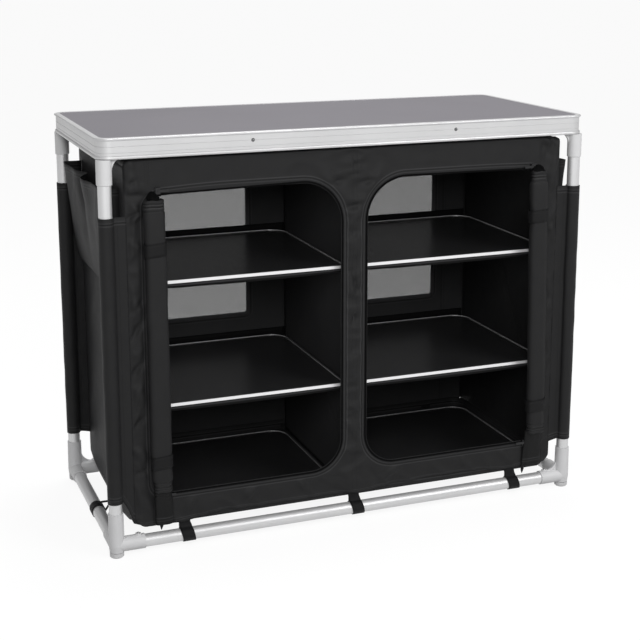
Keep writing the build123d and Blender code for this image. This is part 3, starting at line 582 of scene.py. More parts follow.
def buildFront():
    bm = clothGrid(*bodyBox(), frontLook["cell"])
    cutAway(bm, bodyDistance, frontLook["cell"], inside=False)
    for side in sides:
        cutAway(bm, lambda u, v, s=side: doorDistance(u, v, s), frontLook["cell"], inside=True)

    def seamAt(u, v):
        beyond = max(doors["bottom"] - v, v - doors["top"]) > 20
        return min(abs(u), abs(abs(u) - doors["outer"]) if beyond else 60.0)

    markLines(bm, lambda u, v: min(nearestDoor(u, v), 1.9 * (v - body["hem"])), seamAt)

    def place(u, v, w):
        nearDoor = nearestDoor(u, v)
        free = clamp(max(0.0, nearDoor - 8) / frontLook["flatHem"])
        free *= 1 - 0.75 * hill(abs(u) - frontLook["rollX"], frontLook["rollWide"])  # flat behind the rolled doors
        band = 0.7 * clamp((15 - nearDoor) / 5)
        edge = min(1.0, (body["halfWidth"] - abs(u)) / 11)
        lift = clamp(free * edge * frontLift(u, v) + band, frontLook["least"], frontLook["most"])
        lift -= tuckDepth(u, v)
        return (u, -body["faceY"] - lift, v + hemRise(u, v) - droop(u, v))

    placeAll(bm, place)
    piece = addPiece("frontPanel", bm, coverCloth, ["front_panel"])


windows = dict(
    inner=90.0, outer=364.0, bottom=338.0, top=680.0, corner=4.5, cell=7.5, seamX=395.0,
    netY=203.1, netBeyond=8.0, netCell=12.0,
    creases=[(-430, 300, -330, 120, 14, 2.0), (430, 320, 340, 130, 14, 2.2), (-60, 250, 50, 120, 12, 1.6)],
)


def windowDistance(u, v):
    corner = windows["corner"]
    return min(roundedDistance(u, v, mirroredBox(side, windows), corner, corner) for side in sides)


def buildBack():
    bm = clothGrid(*bodyBox(), windows["cell"])
    cutAway(bm, bodyDistance, windows["cell"], inside=False)
    cutAway(bm, windowDistance, windows["cell"], inside=True)
    markLines(bm, lambda u, v: min(windowDistance(u, v), v - body["hem"]),
              lambda u, v: min(abs(u), abs(abs(u) - windows["seamX"])))

    def place(u, v, w):
        lift = 1.2 * ripple(u, v, 120.0, 9.4) + 0.6 * ripple(u, v, 35.0, 2.6)
        lift += creaseLift(u, v, windows["creases"])
        return (-u, body["faceY"] + max(-0.5, lift), v + hemRise(-u, v))

    placeAll(bm, place)
    # its lighter cloth is painted light for the shaded interior
    piece = addPiece("backPanel", bm, innerClothPaintedLight, ["back_panel"])


def buildNets():
    more = windows["netBeyond"]
    for side in sides:
        u0, v0, u1, v1 = mirroredBox(side, windows)
        bm = clothGrid(u0 - more, v0 - more, u1 + more, v1 + more, windows["netCell"])
        markLines(bm, noSeam, noSeam)
        placeAll(bm, lambda u, v, w: (u, windows["netY"] + 0.5 * ripple(u, v, 90.0, 4.4), v))
        piece = addPiece(sided("windowNet", side), bm, windowNet, ["window_nets"], 0.3 * mm)


buildFront()
buildBack()
buildNets()
print("front, back and nets made")

wallLook = dict(
    cell=8.0, top=746.0, spare=5.0, sag=14.0, sagZone=90.0, backRise=8.0,
    shift={-1: 6.1, 1: 2.3},
    creases=[
        (-140, 90, 40, 480, 24, 4.6), (-120, 150, 55, 460, 13, -2.0), (60, 470, 150, 360, 18, 2.2),
        (-190, 330, -150, 250, 16, 2.0), (120, 250, 190, 130, 20, 2.6), (-180, 120, -90, 60, 16, 2.4),
        (-60, 70, 60, 62, 12, 2.0), (-195, 480, -150, 400, 14, 1.6), (20, 700, 60, 620, 16, 1.4),
    ],
)


def buildSideWall(side):
    look, reach = wallLook, body["halfDepth"]
    bm = clothGrid(-reach, body["hem"], reach, look["top"], look["cell"])
    markLines(bm, lambda u, v: v - body["hem"], lambda u, v: min(reach - abs(u) + 2, 60))
    shift = look["shift"][side]

    def place(u, v, w):
        y = side * u
        edge = 1 - (y / reach) ** 2
        low = max(0.0, (body["hem"] + look["sagZone"] - v) / look["sagZone"])
        settle = min(1.0, edge * 3)
        lift = creaseLift(y, v, look["creases"]) + 1.4 * ripple(y, v, 80.0, shift) + 0.6 * ripple(y, v, 30.0, shift)
        rise = (body["cornerRise"] if y < 0 else look["backRise"]) * abs(y / reach) ** 9 * low * low
        return (side * (body["wallX"] + settle * lift), y, v - look["sag"] * edge * low + rise)

    placeAll(bm, place)
    piece = addPiece(sided("sideWall", side), bm, coverCloth, ["side_wall_" + sides[side]])


roofLook = dict(inset=0.6, below=0.6, wave=0.6, turnedDown=6.0, bend=10.4, cell=12.0)


def buildRoof():  # its side edges bend down over the walls
    half, deep, bend = body["halfWidth"] - roofLook["inset"], body["halfDepth"], roofLook["bend"]
    more = roofLook["turnedDown"]
    bm = clothGrid(-half - more, -deep, half + more, deep, roofLook["cell"])
    markLines(bm, noSeam, lambda u, v: half - abs(u))

    def place(u, v, w):
        over = max(0.0, abs(u) - (half - bend))
        turn = min(math.pi / 2, over / bend)
        x = min(abs(u), half - bend) + bend * math.sin(turn)
        drop = bend * (1 - math.cos(turn)) + max(0.0, over - bend * math.pi / 2)
        wave = roofLook["wave"] * (1 + ripple(u, v, 60.0, 8.2))
        return (math.copysign(x, u), v, body["top"] - roofLook["below"] - drop - wave)

    placeAll(bm, place)
    piece = addPiece("roofCloth", bm, coverCloth, ["roof_panel"])


floorLook = dict(halfWidth=447.4, halfDepth=203.0, up=24.0, corner=30.0, level=50.6, cell=9.0)


def buildFloor():  # its edges are turned up inside the walls
    half, deep, up = floorLook["halfWidth"], floorLook["halfDepth"], floorLook["up"]

    def beyond(u, v):
        return roundedDistance(u, v, (-half, -deep, half, deep), floorLook["corner"], floorLook["corner"])

    bm = clothGrid(-half - up, -deep - up, half + up, deep + up, floorLook["cell"])
    cutAway(bm, lambda u, v: beyond(u, v) - up, floorLook["cell"], inside=False)
    markLines(bm, lambda u, v: up - beyond(u, v), beyond)

    def place(u, v, w):
        over = max(0.0, beyond(u, v))
        slopeU = beyond(u + 0.5, v) - beyond(u - 0.5, v)
        slopeV = beyond(u, v + 0.5) - beyond(u, v - 0.5)
        return (u - over * slopeU, v - over * slopeV, floorLook["level"] + over + 0.3 * ripple(u, v, 70.0, 5.5))

    placeAll(bm, place)
    piece = addPiece("floorCloth", bm, coverCloth, ["floor_panel"])


dividerLook = dict(
    deep=202.0, bottom=51.8, top=755.0, cell=10.0, seams=(277, 517), most=2.4,
    creases=[(-150, 120, -40, 240, 12, 1.8), (60, 420, 150, 330, 12, 1.6), (-120, 700, 20, 600, 14, 1.8)],
)


def buildDivider():
    look, deep = dividerLook, dividerLook["deep"]
    bm = clothGrid(-deep, look["bottom"], deep, look["top"], look["cell"])
    markLines(bm, noSeam, lambda u, v: min(abs(v - seam) for seam in look["seams"]))

    def place(u, v, w):
        free = min(1.0, 3 * (1 - (u / deep) ** 2))
        lift = free * (1.3 * ripple(u, v, 90.0, 1.9) + creaseLift(u, v, look["creases"]))
        return (clamp(lift, -look["most"], look["most"]), u, v)

    placeAll(bm, place)
    # its lighter cloth is painted light for the shaded interior
    piece = addPiece("centreDivider", bm, innerClothPaintedLight, ["centre_divider"])


for side in sides:
    buildSideWall(side)
buildRoof()
buildFloor()
buildDivider()
print("walls, roof, floor and divider made")

sleeves = dict(
    legX=484.5, legY=204.5, ring=13.7, bottom=108.0, top=655.0, step=9.0, segments=26,
    wing=(-15.5, -19.0, -24.0, -29.0, -34.4, -37.4), layers=(-0.75, 0.75), wingWide=22.0, seamX=-17.0,
    cornerDrop=46.0, plainDrop=4.0, dropZone=130.0, wingFrom=-14.0, panelEdge=-34.4, tubeTo=-14.5,
)


def sleeveSection(bm):  # a ring open towards the cupboard, its ends run out as the two layers of the wing
    ring = bmesh.ops.create_circle(bm, cap_ends=False, segments=sleeves["segments"], radius=sleeves["ring"])["verts"]
    joint = min(ring, key=lambda vert: vert.co.x)
    ends = [edge.other_vert(joint) for edge in joint.link_edges]
    bmesh.ops.delete(bm, geom=[joint], context="VERTS")
    ends.sort(key=lambda vert: vert.co.y)
    for vert, layerY in zip(ends, sleeves["layers"]):
        growLine(bm, vert, [(x, layerY, 0) for x in sleeves["wing"]])
    return wireEdges(bm)


def shapeSleeve(bm, right, back, tall):
    look = sleeves
    hemLayer = bm.verts.layers.float.new("hem")
    seamLayer = bm.verts.layers.float.new("seam")
    seed = 1.7 + 2.1 * right + 4.3 * back
    drop = look["plainDrop"] if right or back else look["cornerDrop"]
    for vert in bm.verts:
        x, y, z = vert.co
        vert[hemLayer] = min(tall - z, z, 60.0)
        vert[seamLayer] = min(60.0, abs(x - look["seamX"]))
        wing = clamp((look["wingFrom"] - x) / (look["wingFrom"] - look["panelEdge"]))  # 1 from the panel's edge on
        free = min(1.0, 4 * z / tall, 4 * (1 - z / tall) + 0.2)
        fold = 1.1 * ripple(z, 0, 46.0, seed) + 1.6 * math.sin(z / 38 + 2 * seed) * ripple(z, 3, 120.0, seed)
        fold *= math.sin(math.pi * wing)
        around = math.atan2(y, x)
        where = Vector((math.cos(around) * 1.4, math.sin(around) * 1.4, z / 34 + seed))
        swell = max(0.0, (0.25 + 0.7 * noise.noise(where)) * free * (1 - wing))
        if x > look["tubeTo"]:
            x, y = x * (1 + swell / look["ring"]), y * (1 + swell / look["ring"])
        outX = (look["legX"] + x) * (1 if right else -1)
        outY = y + fold * free + (look["legY"] if back else -look["legY"])
        z = look["bottom"] + z - drop * wing ** 1.4 * max(0.0, 1 - z / look["dropZone"])
        vert.co = Vector((outX, outY, z)) * mm


def buildSleeves(back):
    look, word = sleeves, "back" if back else "front"
    whole = bmesh.new()
    tall = look["top"] - look["bottom"]
    rows = round(tall / look["step"])
    for right in (False, True):
        bm = bmesh.new()
        extrudeRows(bm, sleeveSection(bm), (0, 0, tall / rows), rows)
        shapeSleeve(bm, right, back, tall)
        faceOutward(bm)
        joinInto(whole, bm)
    piece = addPiece("legSleeves" + word.capitalize(), whole, coverCloth, ["leg_sleeves_" + word])


for back in (False, True):
    buildSleeves(back)
print("leg sleeves made")

pockets = dict(
    front=-164.9, back=184.9, bottom=490.0, rim=702.0, mouth={-1: 34.0, 1: 39.5}, foot=2.6,
    most=41.0, cheek=34.0, spare=50.0, cell=6.0, rimSag=3.5, inset=0.6,
    folds=((44.0, 24.0, -17.0), (-24.0, 30.0, 8.0), (160.0, 30.0, 5.0), (-140.0, 26.0, 2.0)),  # y, width, depth
    creases=[(-120, 690, -60, 560, 12, 2.0), (90, 690, 140, 590, 12, 2.0), (10, 620, 40, 520, 10, 1.6)],
)


def buildPocket(side):  # one band of cloth: a cheek, the front and the other cheek
    look, cheek = pockets, pockets["cheek"]
    span, tall = look["back"] - look["front"], look["rim"] - look["bottom"]
    total = span + 2 * cheek
    bm = clothGrid(0, look["bottom"], total, look["rim"], look["cell"])
    markLines(bm, lambda u, v: look["rim"] - v,
              lambda u, v: min(abs(u - cheek), abs(u - total + cheek), v - look["bottom"] + 1))

    def place(u, v, w):
        along = u if side > 0 else total - u
        high = (v - look["bottom"]) / tall
        reach = look["foot"] + (look["mouth"][side] - look["foot"]) * high ** 0.5 - look["inset"]
        turn = min(1.0, min(along, total - along) / cheek)
        out = reach * math.sin(min(1.0, turn * 1.05) * math.pi / 2)
        y = look["front"] + look["inset"] + clamp(along - cheek, 0.0, span - 2 * look["inset"])
        fold = -high ** 1.3 * sum(deep * hill(y - foldY, wide) for foldY, wide, deep in look["folds"])
        slack = (1.6 * ripple(y, v, 55.0, 2.9 * side) + 0.7 * ripple(y, v, 22.0, 3.3)) * turn * min(1.0, high * 2)
        crease = creaseLift(y, v, look["creases"])
        out = max(0.2, out - fold * turn + slack + crease * turn * high)
        sag = look["rimSag"] * math.sin(math.pi * clamp((y - look["front"]) / span)) * high ** 6
        return (side * (body["halfWidth"] + min(out, look["most"])), y, v - sag)

    placeAll(bm, place)
    piece = addPiece(sided("sidePocket", side), bm, coverCloth, ["side_pocket_" + sides[side]])


for side in sides:
    buildPocket(side)
print("side pockets made")

rolls = dict(
    y=-218.3, flat=9.0, radius=11.25, pitch=2.6, turns=4, arcSteps=8, sheetWide=0.34,
    row=9.0, fineRow=1.3, ringZone=26.0, ringStep=6.5, ringDeep=0.15,
    left=dict(x=-397.0, bottom=124.0, top=684.0, lean=-3.0, seed=1.4, headPinch=0.0,
             footPinch=0.12),
    right=dict(x=401.5, bottom=136.0, top=691.0, lean=-11.0, seed=5.8, headPinch=0.15,
              footPinch=0.0),
    tieBottom=60.0, tieTop=91.0, tieWide=25.0, tieRadius=12.4, tieThick=1.1,
    pinchWide=16.0, endZone=30.0,
)


def rowHeights(tall):  # close rows at both ends, for the rings there
    fine = round(rolls["ringZone"] / rolls["fineRow"])
    between = round((tall - 2 * rolls["ringZone"]) / rolls["row"])
    ends = [rolls["ringZone"] / fine] * fine
    return ends + [(tall - 2 * rolls["ringZone"]) / between] * between + ends


def rollCentre(place, z):
    share = (z - (place["bottom"] + place["top"]) / 2) / (place["top"] - place["bottom"])
    return place["x"] + place["lean"] * share


def tieHeights(place):
    return (rolls["tieBottom"], place["top"] - place["bottom"] - rolls["tieTop"])


def spiralSection(bm):  # half turns of spin joined by flats that draw in
    flat = rolls["flat"]
    geom = [bm.verts.new((flat, rolls["radius"], 0))]
    for turn in range(rolls["turns"]):
        right = max(1.6, rolls["radius"] - turn * rolls["pitch"])
        left = max(1.2, right - rolls["pitch"] / 2)
        for centre, spinRadius, shift in (((flat, 0, 0), right, -2 * flat), ((-flat, left - right, 0), left, 2 * flat)):
            geom = bmesh.ops.spin(bm, geom=geom, cent=centre, axis=(0, 0, -1), angle=math.pi,
                                  steps=rolls["arcSteps"], use_duplicate=False)["geom_last"]
            geom = onlyKind(geom, bmesh.types.BMVert)
            for part in range(3):
                geom = bmesh.ops.extrude_vert_indiv(bm, verts=geom)["verts"]
                bmesh.ops.translate(bm, vec=(shift / 3, 0, 0), verts=geom)


def markTurns(bm, layer):  # 0 at the outer end of the spiral, towards 1 at its inner end
    bm.verts.ensure_lookup_table()
    order, walk, before = [], bm.verts[0], None
    while walk is not None:
        order.append(walk)
        ahead = [edge.other_vert(walk) for edge in walk.link_edges if edge.other_vert(walk) is not before]
        before, walk = walk, (ahead[0] if ahead else None)
    for number, vert in enumerate(order):
        vert[layer] = number / len(order)


def buildRoll(label):
    place = rolls[label]
    bm = bmesh.new()
    for layer in ("turn", "hem", "seam"):
        bm.verts.layers.float.new(layer)
    turnLayer, hemLayer, seamLayer = (bm.verts.layers.float[layer] for layer in ("turn", "hem", "seam"))
    spiralSection(bm)
    markTurns(bm, turnLayer)
    tall = place["top"] - place["bottom"]
    level = bm.edges[:]
    for step in rowHeights(tall):
        level = extrudeRows(bm, level, (0, 0, step), 1)
    for vert in bm.verts:
        x, y, z = vert.co
        share = vert[turnLayer]
        vert[hemLayer] = min(tall - z, z, 60.0)
        vert[seamLayer] = abs(share * 300 - 60)
        pinch = max(hill(z - tie, rolls["pinchWide"]) for tie in tieHeights(place))
        around = math.atan2(y, x)
        where = Vector((math.cos(around), math.sin(around), z / 60 + place["seed"]))
        swell = 1 + 0.10 * noise.noise(where) - 0.08 * pinch
        swell += 0.05 * math.sin(math.pi * z / tall) - 0.03
        for away, narrow in ((tall - z, place["headPinch"]), (z, place["footPinch"])):
            if away < rolls["ringZone"]:
                zone = min(1.0, 3 * (1 - away / rolls["ringZone"]))
                groove = (1 - abs(math.sin(math.pi * away / rolls["ringStep"]))) ** 2
                swell -= zone * (narrow + rolls["ringDeep"] * groove)
        grow = min(1.0, swell)
        x, y = x * grow, y * grow
        end = 1 if z > tall / 2 else -1
        nearEnd = max(0.0, 1 - min(z, tall - z) / rolls["endZone"])
        z += end * nearEnd * (0.4 - share) * 3.0 + nearEnd * 0.5 * math.sin(3 * around + place["seed"])
        x += 1.4 * noise.noise(Vector((0, z / 110, place["seed"])))
        worldZ = place["bottom"] + z
        vert.co = Vector((rollCentre(place, worldZ) + x, rolls["y"] + y, worldZ)) * mm
    faceOutward(bm)
    piece = addPiece("rolledDoor" + label.capitalize(), bm, coverCloth, ["rolled_door_" + label])


def buildTies():
    whole = bmesh.new()
    wide = rolls["tieWide"]
    for label in sides.values():
        place = rolls[label]
        for low in tieHeights(place):
            bm = bmesh.new()
            bmesh.ops.create_circle(bm, cap_ends=False, segments=36, radius=rolls["tieRadius"])
            for vert in bm.verts:
                vert.co.x += math.copysign(min(abs(vert.co.x) * 2, rolls["flat"]), vert.co.x)
            extrudeRows(bm, bm.edges[:], (0, 0, wide / 4), 4)

            def wrap(x, y, z):
                tuck = 1 - 0.035 * (abs(z - wide / 2) < 4) + 0.01 * math.sin(x)
                worldZ = place["bottom"] + low - wide / 2 + z + 0.08 * x
                return (rollCentre(place, worldZ) + x * tuck * 0.97, rolls["y"] + y * tuck, worldZ)

            placeAll(bm, wrap)
            faceOutward(bm)
            joinInto(whole, bm)
    addPiece("rollTies", whole, tieTape, ["roll_ties"], rolls["tieThick"] * mm)


tails = dict(  # x, width and thickness at the foot and at the top
    left=dict(x=(-391.0, -395.0), top=128.0, wide=(33.0, 33.0), thick=(3.0, 9.0), rings=0.09),
    right=dict(x=(408.0, 407.0), top=139.0, wide=(44.0, 38.0), thick=(3.0, 6.0), rings=0.0),
    foot=57.0, rows=42, sheetWide=0.105, face=-206.6, ringZone=22.0,
)


def between(look, share):  # middle, width and thickness at that height
    return (look[key][0] + (look[key][1] - look[key][0]) * share for key in ("x", "wide", "thick"))


def buildTail(label):  # the loose lower end of the door cloth, gathered flat on the panel
    look, seed = tails[label], rolls[label]["seed"]
    foot, tall = tails["foot"], look["top"] - tails["foot"]
    bm = bmesh.new()
    bmesh.ops.create_circle(bm, cap_ends=False, segments=32, radius=1.0)
    behind = [edge for edge in bm.edges if all(vert.co.y > 0.93 for vert in edge.verts)]
    bmesh.ops.delete(bm, geom=behind, context="EDGES")
    extrudeRows(bm, bm.edges[:], (0, 0, 1 / tails["rows"]), tails["rows"])
    hemLayer = bm.verts.layers.float.new("hem")
    bm.verts.layers.float.new("seam")
    for vert in bm.verts:
        x, y, z = vert.co
        around = math.atan2(y, x)
        vert[hemLayer] = z * tall
        middle, wide, thick = between(look, z)
        ridge = 1 + 0.10 * math.sin(5 * around + seed) * (1.1 - z) + 0.10 * ripple(around * 3, z * 3, 1.0, seed)
        near = max(0.0, 1 - (1 - z) * tall / tails["ringZone"])
        ring = 1 + math.cos(2 * math.pi * (1 - z) * tall / rolls["ringStep"])
        ridge -= look["rings"] * min(1.0, 4 * near) * ring
        depth = tails["face"] - thick + y * thick * ridge
        rise = hemRise(middle + x * wide / 2, foot) * (1 - z)
        vert.co = Vector((middle + x * wide / 2 * ridge, depth, foot + z * tall + rise)) * mm
    faceOutward(bm)
    piece = addPiece("doorTail" + label.capitalize(), bm, coverCloth, ())


heads = dict(  # x, width and thickness at the foot and at the top
    left=dict(x=(-397.0, -400.0), foot=681.0, top=699.0, wide=(30.0, 13.0), thick=(19.0, 3.0)),
    right=dict(x=(397.5, 399.0), foot=688.0, top=703.0, wide=(31.0, 22.0), thick=(18.0, 3.0)),
    face=-206.4,
)


def buildHead(label):  # the gathered upper end of the door cloth, drawn in to the end of the zip
    look, seed = heads[label], rolls[label]["seed"]
    bm = bmesh.new()
    bmesh.ops.create_uvsphere(bm, u_segments=28, v_segments=20, radius=1.0)

    def place(x, y, z):
        share = (z + 1) / 2
        around = math.atan2(y, x)
        middle, wide, thick = between(look, share)
        ridge = 1 + 0.09 * math.sin(6 * around + seed) + 0.1 * ripple(around * 2, z * 2, 1.0, seed)
        depth = heads["face"] - thick / 2 + y * thick / 2 * ridge
        return (middle + x * wide / 2 * ridge, depth, look["foot"] + share * (look["top"] - look["foot"]))

    placeAll(bm, place)
    faceOutward(bm)
    # the door cloth here takes the darker zip tape colour: painted shade in the deep gathers
    addPiece("doorHead" + label.capitalize(), bm, zipTape, (), 0.0)


for label in sides.values():
    buildRoll(label)
    buildTail(label)
    buildHead(label)
buildTies()
print("rolled doors made")

zips = dict(gap=1.2, tape=3.6, tapeThick=0.6, end=402.0, coil=1.4, coilIn=1.3, coilThick=1.4,
        face=-206.1)


def doorRing(side, margin, wide, thick):  # a flat band round the opening, cut off beside the rolled door
    bm = bmesh.new()
    u0, v0, u1, v1 = mirroredBox(side, doors)
    grown = margin + wide
    corners = [(u0 - grown, v0 - grown), (u1 + grown, v0 - grown), (u1 + grown, v1 + grown), (u0 - grown, v1 + grown)]
    bm.faces.new([bm.verts.new((u, v, 0)) for u, v in corners])

    def roundOff(verts, corner, segments):
        bmesh.ops.bevel(bm, geom=verts, offset=corner + grown, offset_type="OFFSET", affect="VERTICES",
                        segments=segments, profile=0.5, material=-1)

    for low, corner in ((True, doors["lowerCorner"]), (False, doors["upperCorner"])):
        roundOff([vert for vert in bm.verts if abs(vert.co.x) < 25 and (vert.co.y < 400) == low], corner, 24)
    roundOff([vert for vert in bm.verts if abs(vert.co.x) > 400], doors["outerCorner"], 8)
    middle = max(bm.faces, key=lambda face: face.calc_area())
    bmesh.ops.inset_region(bm, faces=[middle], thickness=wide, use_even_offset=True, use_boundary=True)
    bmesh.ops.delete(bm, geom=[middle], context="FACES")
    cutAlong(bm, (side * zips["end"], 0, 0), (side, 0, 0), clear=True)
    made = bmesh.ops.extrude_face_region(bm, geom=bm.faces[:])["geom"]
    bmesh.ops.translate(bm, vec=(0, 0, thick), verts=onlyKind(made, bmesh.types.BMVert))
    placeAll(bm, lambda u, v, w: (u, zips["face"] - w, v - droop(u, v)))
    faceOutward(bm)
    return bm


def buildZips():
    whole = bmesh.new()
    for side in sides:
        joinInto(whole, doorRing(side, zips["gap"], zips["tape"], zips["tapeThick"]))
        joinInto(whole, doorRing(side, zips["gap"] + zips["coilIn"], zips["coil"], zips["coilThick"]))
    addPiece("zipTracks", whole, zipTape, ["zip_tracks"], 0.0, smooth=False)


buildZips()
print("zips made")

slings = dict(
    levels={"Upper": 525.0, "Middle": 285.0}, inner=0.8, outer=445.0, front=-190.0, back=201.6,
    drop=5.5, sag=3.0, rise=18.0, below=6.9, cell=8.0,
)


def buildSling(side, label, top):  # hangs down in front as a hem and stands up behind as a strip
    look = slings
    sheetZ = top - look["below"]
    long = look["back"] - look["front"]
    bm = clothGrid(look["inner"], -look["drop"], look["outer"], long + look["rise"], look["cell"])
    for line in (0, long):
        cutAlong(bm, (0, line, 0), (0, 1, 0))
    markLines(bm, lambda u, v: v + look["drop"], noSeam)
    middle = (look["inner"] + look["outer"]) / 2
    seed = top / 100 + side

    def place(u, v, w):
        across = 1 - ((u - middle) / (look["outer"] - middle)) ** 2
        wave = 0.8 * ripple(u, 0, 34.0, seed) + 0.5 * ripple(u, v, 15.0, seed)
        if v <= 0.01:
            hang = -v / look["drop"]
            low = v * (1 + look["sag"] / look["drop"] * across) + 0.5 * wave * hang
            return (side * u, look["front"] - 0.2 - hang * (0.6 + 1.2 * abs(wave)), sheetZ + low)
        if v >= long - 0.01:
            return (side * u, look["back"] + 0.2 * wave, sheetZ + v - long)
        return (side * u, look["front"] + v, sheetZ - 0.25 * abs(wave))

    placeAll(bm, place)
    if side < 0:
        bmesh.ops.reverse_faces(bm, faces=bm.faces)
    # its darker cloth is painted shade
    piece = addPiece(sided("sling", side) + label, bm, slingClothPaintedShade, ["shelf_slings"])


for side in sides:
    for label, top in slings["levels"].items():
        buildSling(side, label, top)
print("slings made")

straps = dict(
    places=(-349.0, 4.0, 360.0), width=25.0, tubeZ=23.5, tubeY=204.5, ring=13.7, skew=9.0,
    layers=(-0.9, -2.1), heights=(18.0, 23.0, 28.0, 34.0, 40.0), thick=1.1, steps=5,
)
sideStrap = dict(  # the two ties of a side strap run from its loop to the wall, as x and z
    x=484.5, y=-30.0, tie=8.0,
    ties=(((484.5, 38.0), (474.5, 38.6), (460.5, 38.4), (451.5, 39.0), (450.9, 46.0), (450.9, 55.0)),
             ((451.3, 45.0), (458.9, 34.0), (470.5, 17.0), (476.5, 11.2), (484.5, 9.0))),
)


def strapLoop(bm):  # a ring round the tube
    bmesh.ops.create_circle(bm, cap_ends=False, segments=30, radius=straps["ring"],
                            matrix=Matrix.Rotation(math.radians(90), 4, "Y"))
    bm.verts.ensure_lookup_table()
    return max(bm.verts, key=lambda vert: vert.co.z)


def finishStrap(whole, bm, place):
    placeAll(bm, place)
    faceOutward(bm)
    joinInto(whole, bm)


def widenStrap(bm):
    steps = straps["steps"]
    extrudeRows(bm, wireEdges(bm), (straps["width"] / steps, 0, 0), steps)


def buildBaseStrap(whole, x, side):  # the loop opens at its top into two layers that go up to the hem
    bm = bmesh.new()
    top = strapLoop(bm)
    ends = [edge.other_vert(top) for edge in top.link_edges]
    bmesh.ops.delete(bm, geom=[top], context="VERTS")
    for tip in ends:
        layer = straps["layers"][0 if tip.co.y * side > 0 else 1]
        growLine(bm, tip, [(0, side * layer, z) for z in straps["heights"]])
    widenStrap(bm)

    def place(along, y, z):
        bend = 0.4 * noise.noise(Vector((along / 12 + x, z / 14, 1.0)))
        pull = 0.92 if z > 20 else 1.0
        across = (along - straps["width"] / 2) * pull + straps["skew"] * (0.35 - z / 45)
        return (x + across, side * straps["tubeY"] + y + side * max(-0.2, bend), straps["tubeZ"] + z)

    finishStrap(whole, bm, place)


def buildSideStrap(whole, side):
    look = sideStrap
    bm = bmesh.new()
    strapLoop(bm)
    widenStrap(bm)
    start = look["y"] - straps["width"] / 2
    finishStrap(whole, bm, lambda x, y, z: (side * (look["x"] + y), start + x, straps["tubeZ"] + z))
    for path in look["ties"]:
        bm = bmesh.new()
        points = [(x, 0, z) for x, z in path]
        growLine(bm, bm.verts.new(points[0]), points[1:])
        extrudeRows(bm, wireEdges(bm), (0, look["tie"] / 2, 0), 2)
        finishStrap(whole, bm, lambda x, y, z: (side * x, look["y"] - look["tie"] / 2 + y, z))


def buildStraps():
    whole = bmesh.new()
    for x in straps["places"]:
        for side in sides:
            buildBaseStrap(whole, x, side)
    for side in sides:
        buildSideStrap(whole, side)
    addPiece("baseStraps", whole, webbing, ["base_straps"], straps["thick"] * mm)


zipEnds = dict(
    places=((-396.0, 56.0), (388.0, 57.0)), wide=7.0, long=15.0, hidden=6.0, cell=2.5, thick=0.9,
    face=-206.4,
)


def buildZipEnds():  # pointed tape ends that hang below the hem
    look = zipEnds
    whole = bmesh.new()
    for x, top in look["places"]:
        bm = clothGrid(-look["wide"] / 2, -look["long"], look["wide"] / 2, look["hidden"], look["cell"])

        def place(u, v, w):
            low = clamp((v + look["long"]) / 8)
            return (x + u * (0.15 + 0.85 * low) + 0.1 * v, look["face"] - 0.02 * v ** 2 * 0.1, top + v)

        placeAll(bm, place)
        joinInto(whole, bm)
    addPiece("zipEnds", whole, webbing, (), look["thick"] * mm)


buildStraps()
buildZipEnds()
print("straps made")

stage = dict(halfSize=40.0, floor=(0.36, 0.36, 0.36), rough=0.9, shine=0.90, shade=(0.12, 0.12, 0.12))
lights = dict(
    world=0.45, seen=1.0,
    lamps=[  # name, place, aimed at, size, watts
        ("key", (1.3, -2.1, 1.9), (0.1, 0.0, 0.5), 1.2, 28.0),
        ("front", (-0.9, -2.7, 1.7), (-0.1, 0.0, 0.5), 1.0, 34.0),
        ("fill", (-2.6, -2.2, 1.4), (-0.3, 0.0, 0.4), 1.8, 3.0),
        ("top", (0.3, 0.6, 3.0), (0.0, 0.0, 0.7), 1.3, 40.0),
    ],
)
view = dict(
    place=(-0.965, -2.5252, 1.1213), turn=0.3676, tilt=0.2133,
    focal=1327.3, centreRow=240.0, frame=640, sensor=36.0,  # pixels, and mm for the sensor
)


def mixShaders(tree, share, first, second, surface):
    mix = tree.nodes.new("ShaderNodeMixShader")
    for socket, value in zip(mix.inputs, (share, first, second)):
        tree.links.new(value, socket)
    tree.links.new(mix.outputs[0], surface)


def seenDirectly(tree, *kinds):  # 1 for rays of those kinds
    path = tree.nodes.new("ShaderNodeLightPath").outputs
    share = path[kinds[0]]
    for kind in kinds[1:]:
        share = largest(tree, share, path[kind])
    return share


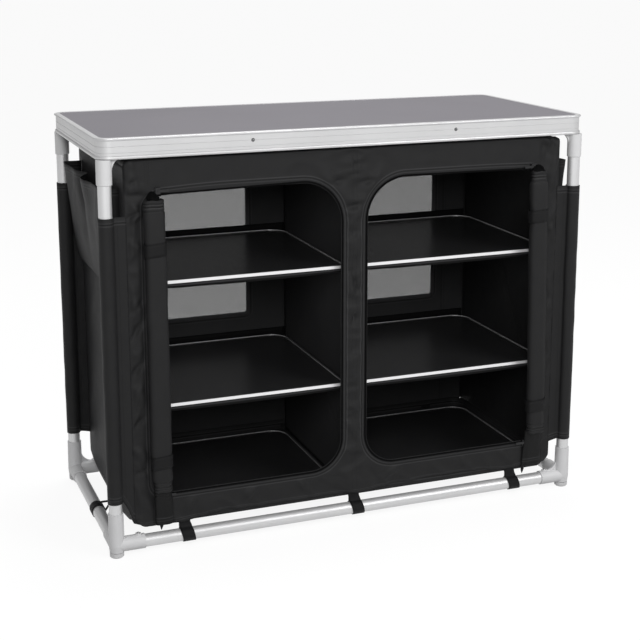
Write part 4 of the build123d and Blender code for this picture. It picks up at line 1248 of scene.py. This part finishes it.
def buildFloorStage():  # glows evenly towards the camera, and is darker where it lights the cupboard
    bm = bmesh.new()
    bmesh.ops.create_grid(bm, x_segments=1, y_segments=1, size=stage["halfSize"])
    mesh = bpy.data.meshes.new("studioFloor")
    bm.to_mesh(mesh)
    bm.free()
    floor = bpy.data.objects.new("studioFloor", mesh)
    scene.collection.objects.link(floor)
    material, tree, shader = startMaterial("studioFloor")
    setInputs(shader, {"Base Color": (*stage["floor"], 1), "Roughness": stage["rough"], "Specular IOR Level": 0.0})
    seen = tree.nodes.new("ShaderNodeBsdfPrincipled")
    setInputs(seen, {
        "Base Color": (*stage["shade"], 1), "Roughness": 1.0, "Specular IOR Level": 0.0,
        "Emission Color": (1, 1, 1, 1), "Emission Strength": stage["shine"],
    })
    direct = seenDirectly(tree, "Is Camera Ray", "Is Transmission Ray", "Is Glossy Ray")
    mixShaders(tree, direct, shader.outputs[0], seen.outputs[0], tree.nodes["Material Output"].inputs["Surface"])
    mesh.materials.append(material)


def buildWorld():
    world = bpy.data.worlds.new("studio")
    scene.world = world
    world.use_nodes = True
    tree = world.node_tree
    plain, white = tree.nodes["Background"], tree.nodes.new("ShaderNodeBackground")
    for node, strength in ((plain, lights["world"]), (white, lights["seen"])):
        setInputs(node, {"Color": (1, 1, 1, 1), "Strength": strength})
    direct = seenDirectly(tree, "Is Camera Ray", "Is Transmission Ray")
    mixShaders(tree, direct, plain.outputs[0], white.outputs[0], tree.nodes["World Output"].inputs["Surface"])


def buildLights():
    for name, place, aim, size, watts in lights["lamps"]:
        lamp = bpy.data.lights.new(name, "AREA")
        lamp.shape = "SQUARE"
        lamp.size = size
        lamp.energy = watts
        item = bpy.data.objects.new(name, lamp)
        scene.collection.objects.link(item)
        item.location = place
        item.rotation_euler = (Vector(aim) - Vector(place)).to_track_quat("-Z", "Y").to_euler()


def buildCamera():
    camera = bpy.data.cameras.new("photoView")
    camera.sensor_width = view["sensor"]
    camera.lens = view["focal"] / view["frame"] * view["sensor"]
    camera.shift_y = (view["centreRow"] - view["frame"] / 2) / view["frame"]
    camera.clip_start = 0.05
    item = bpy.data.objects.new("photoView", camera)
    scene.collection.objects.link(item)
    item.location = view["place"]
    item.rotation_euler = (math.pi / 2 - view["tilt"], 0, -view["turn"])
    scene.camera = item


buildFloorStage()
buildWorld()
buildLights()
buildCamera()
scene.view_settings.view_transform = "Standard"
print("stage, lights and camera ready")
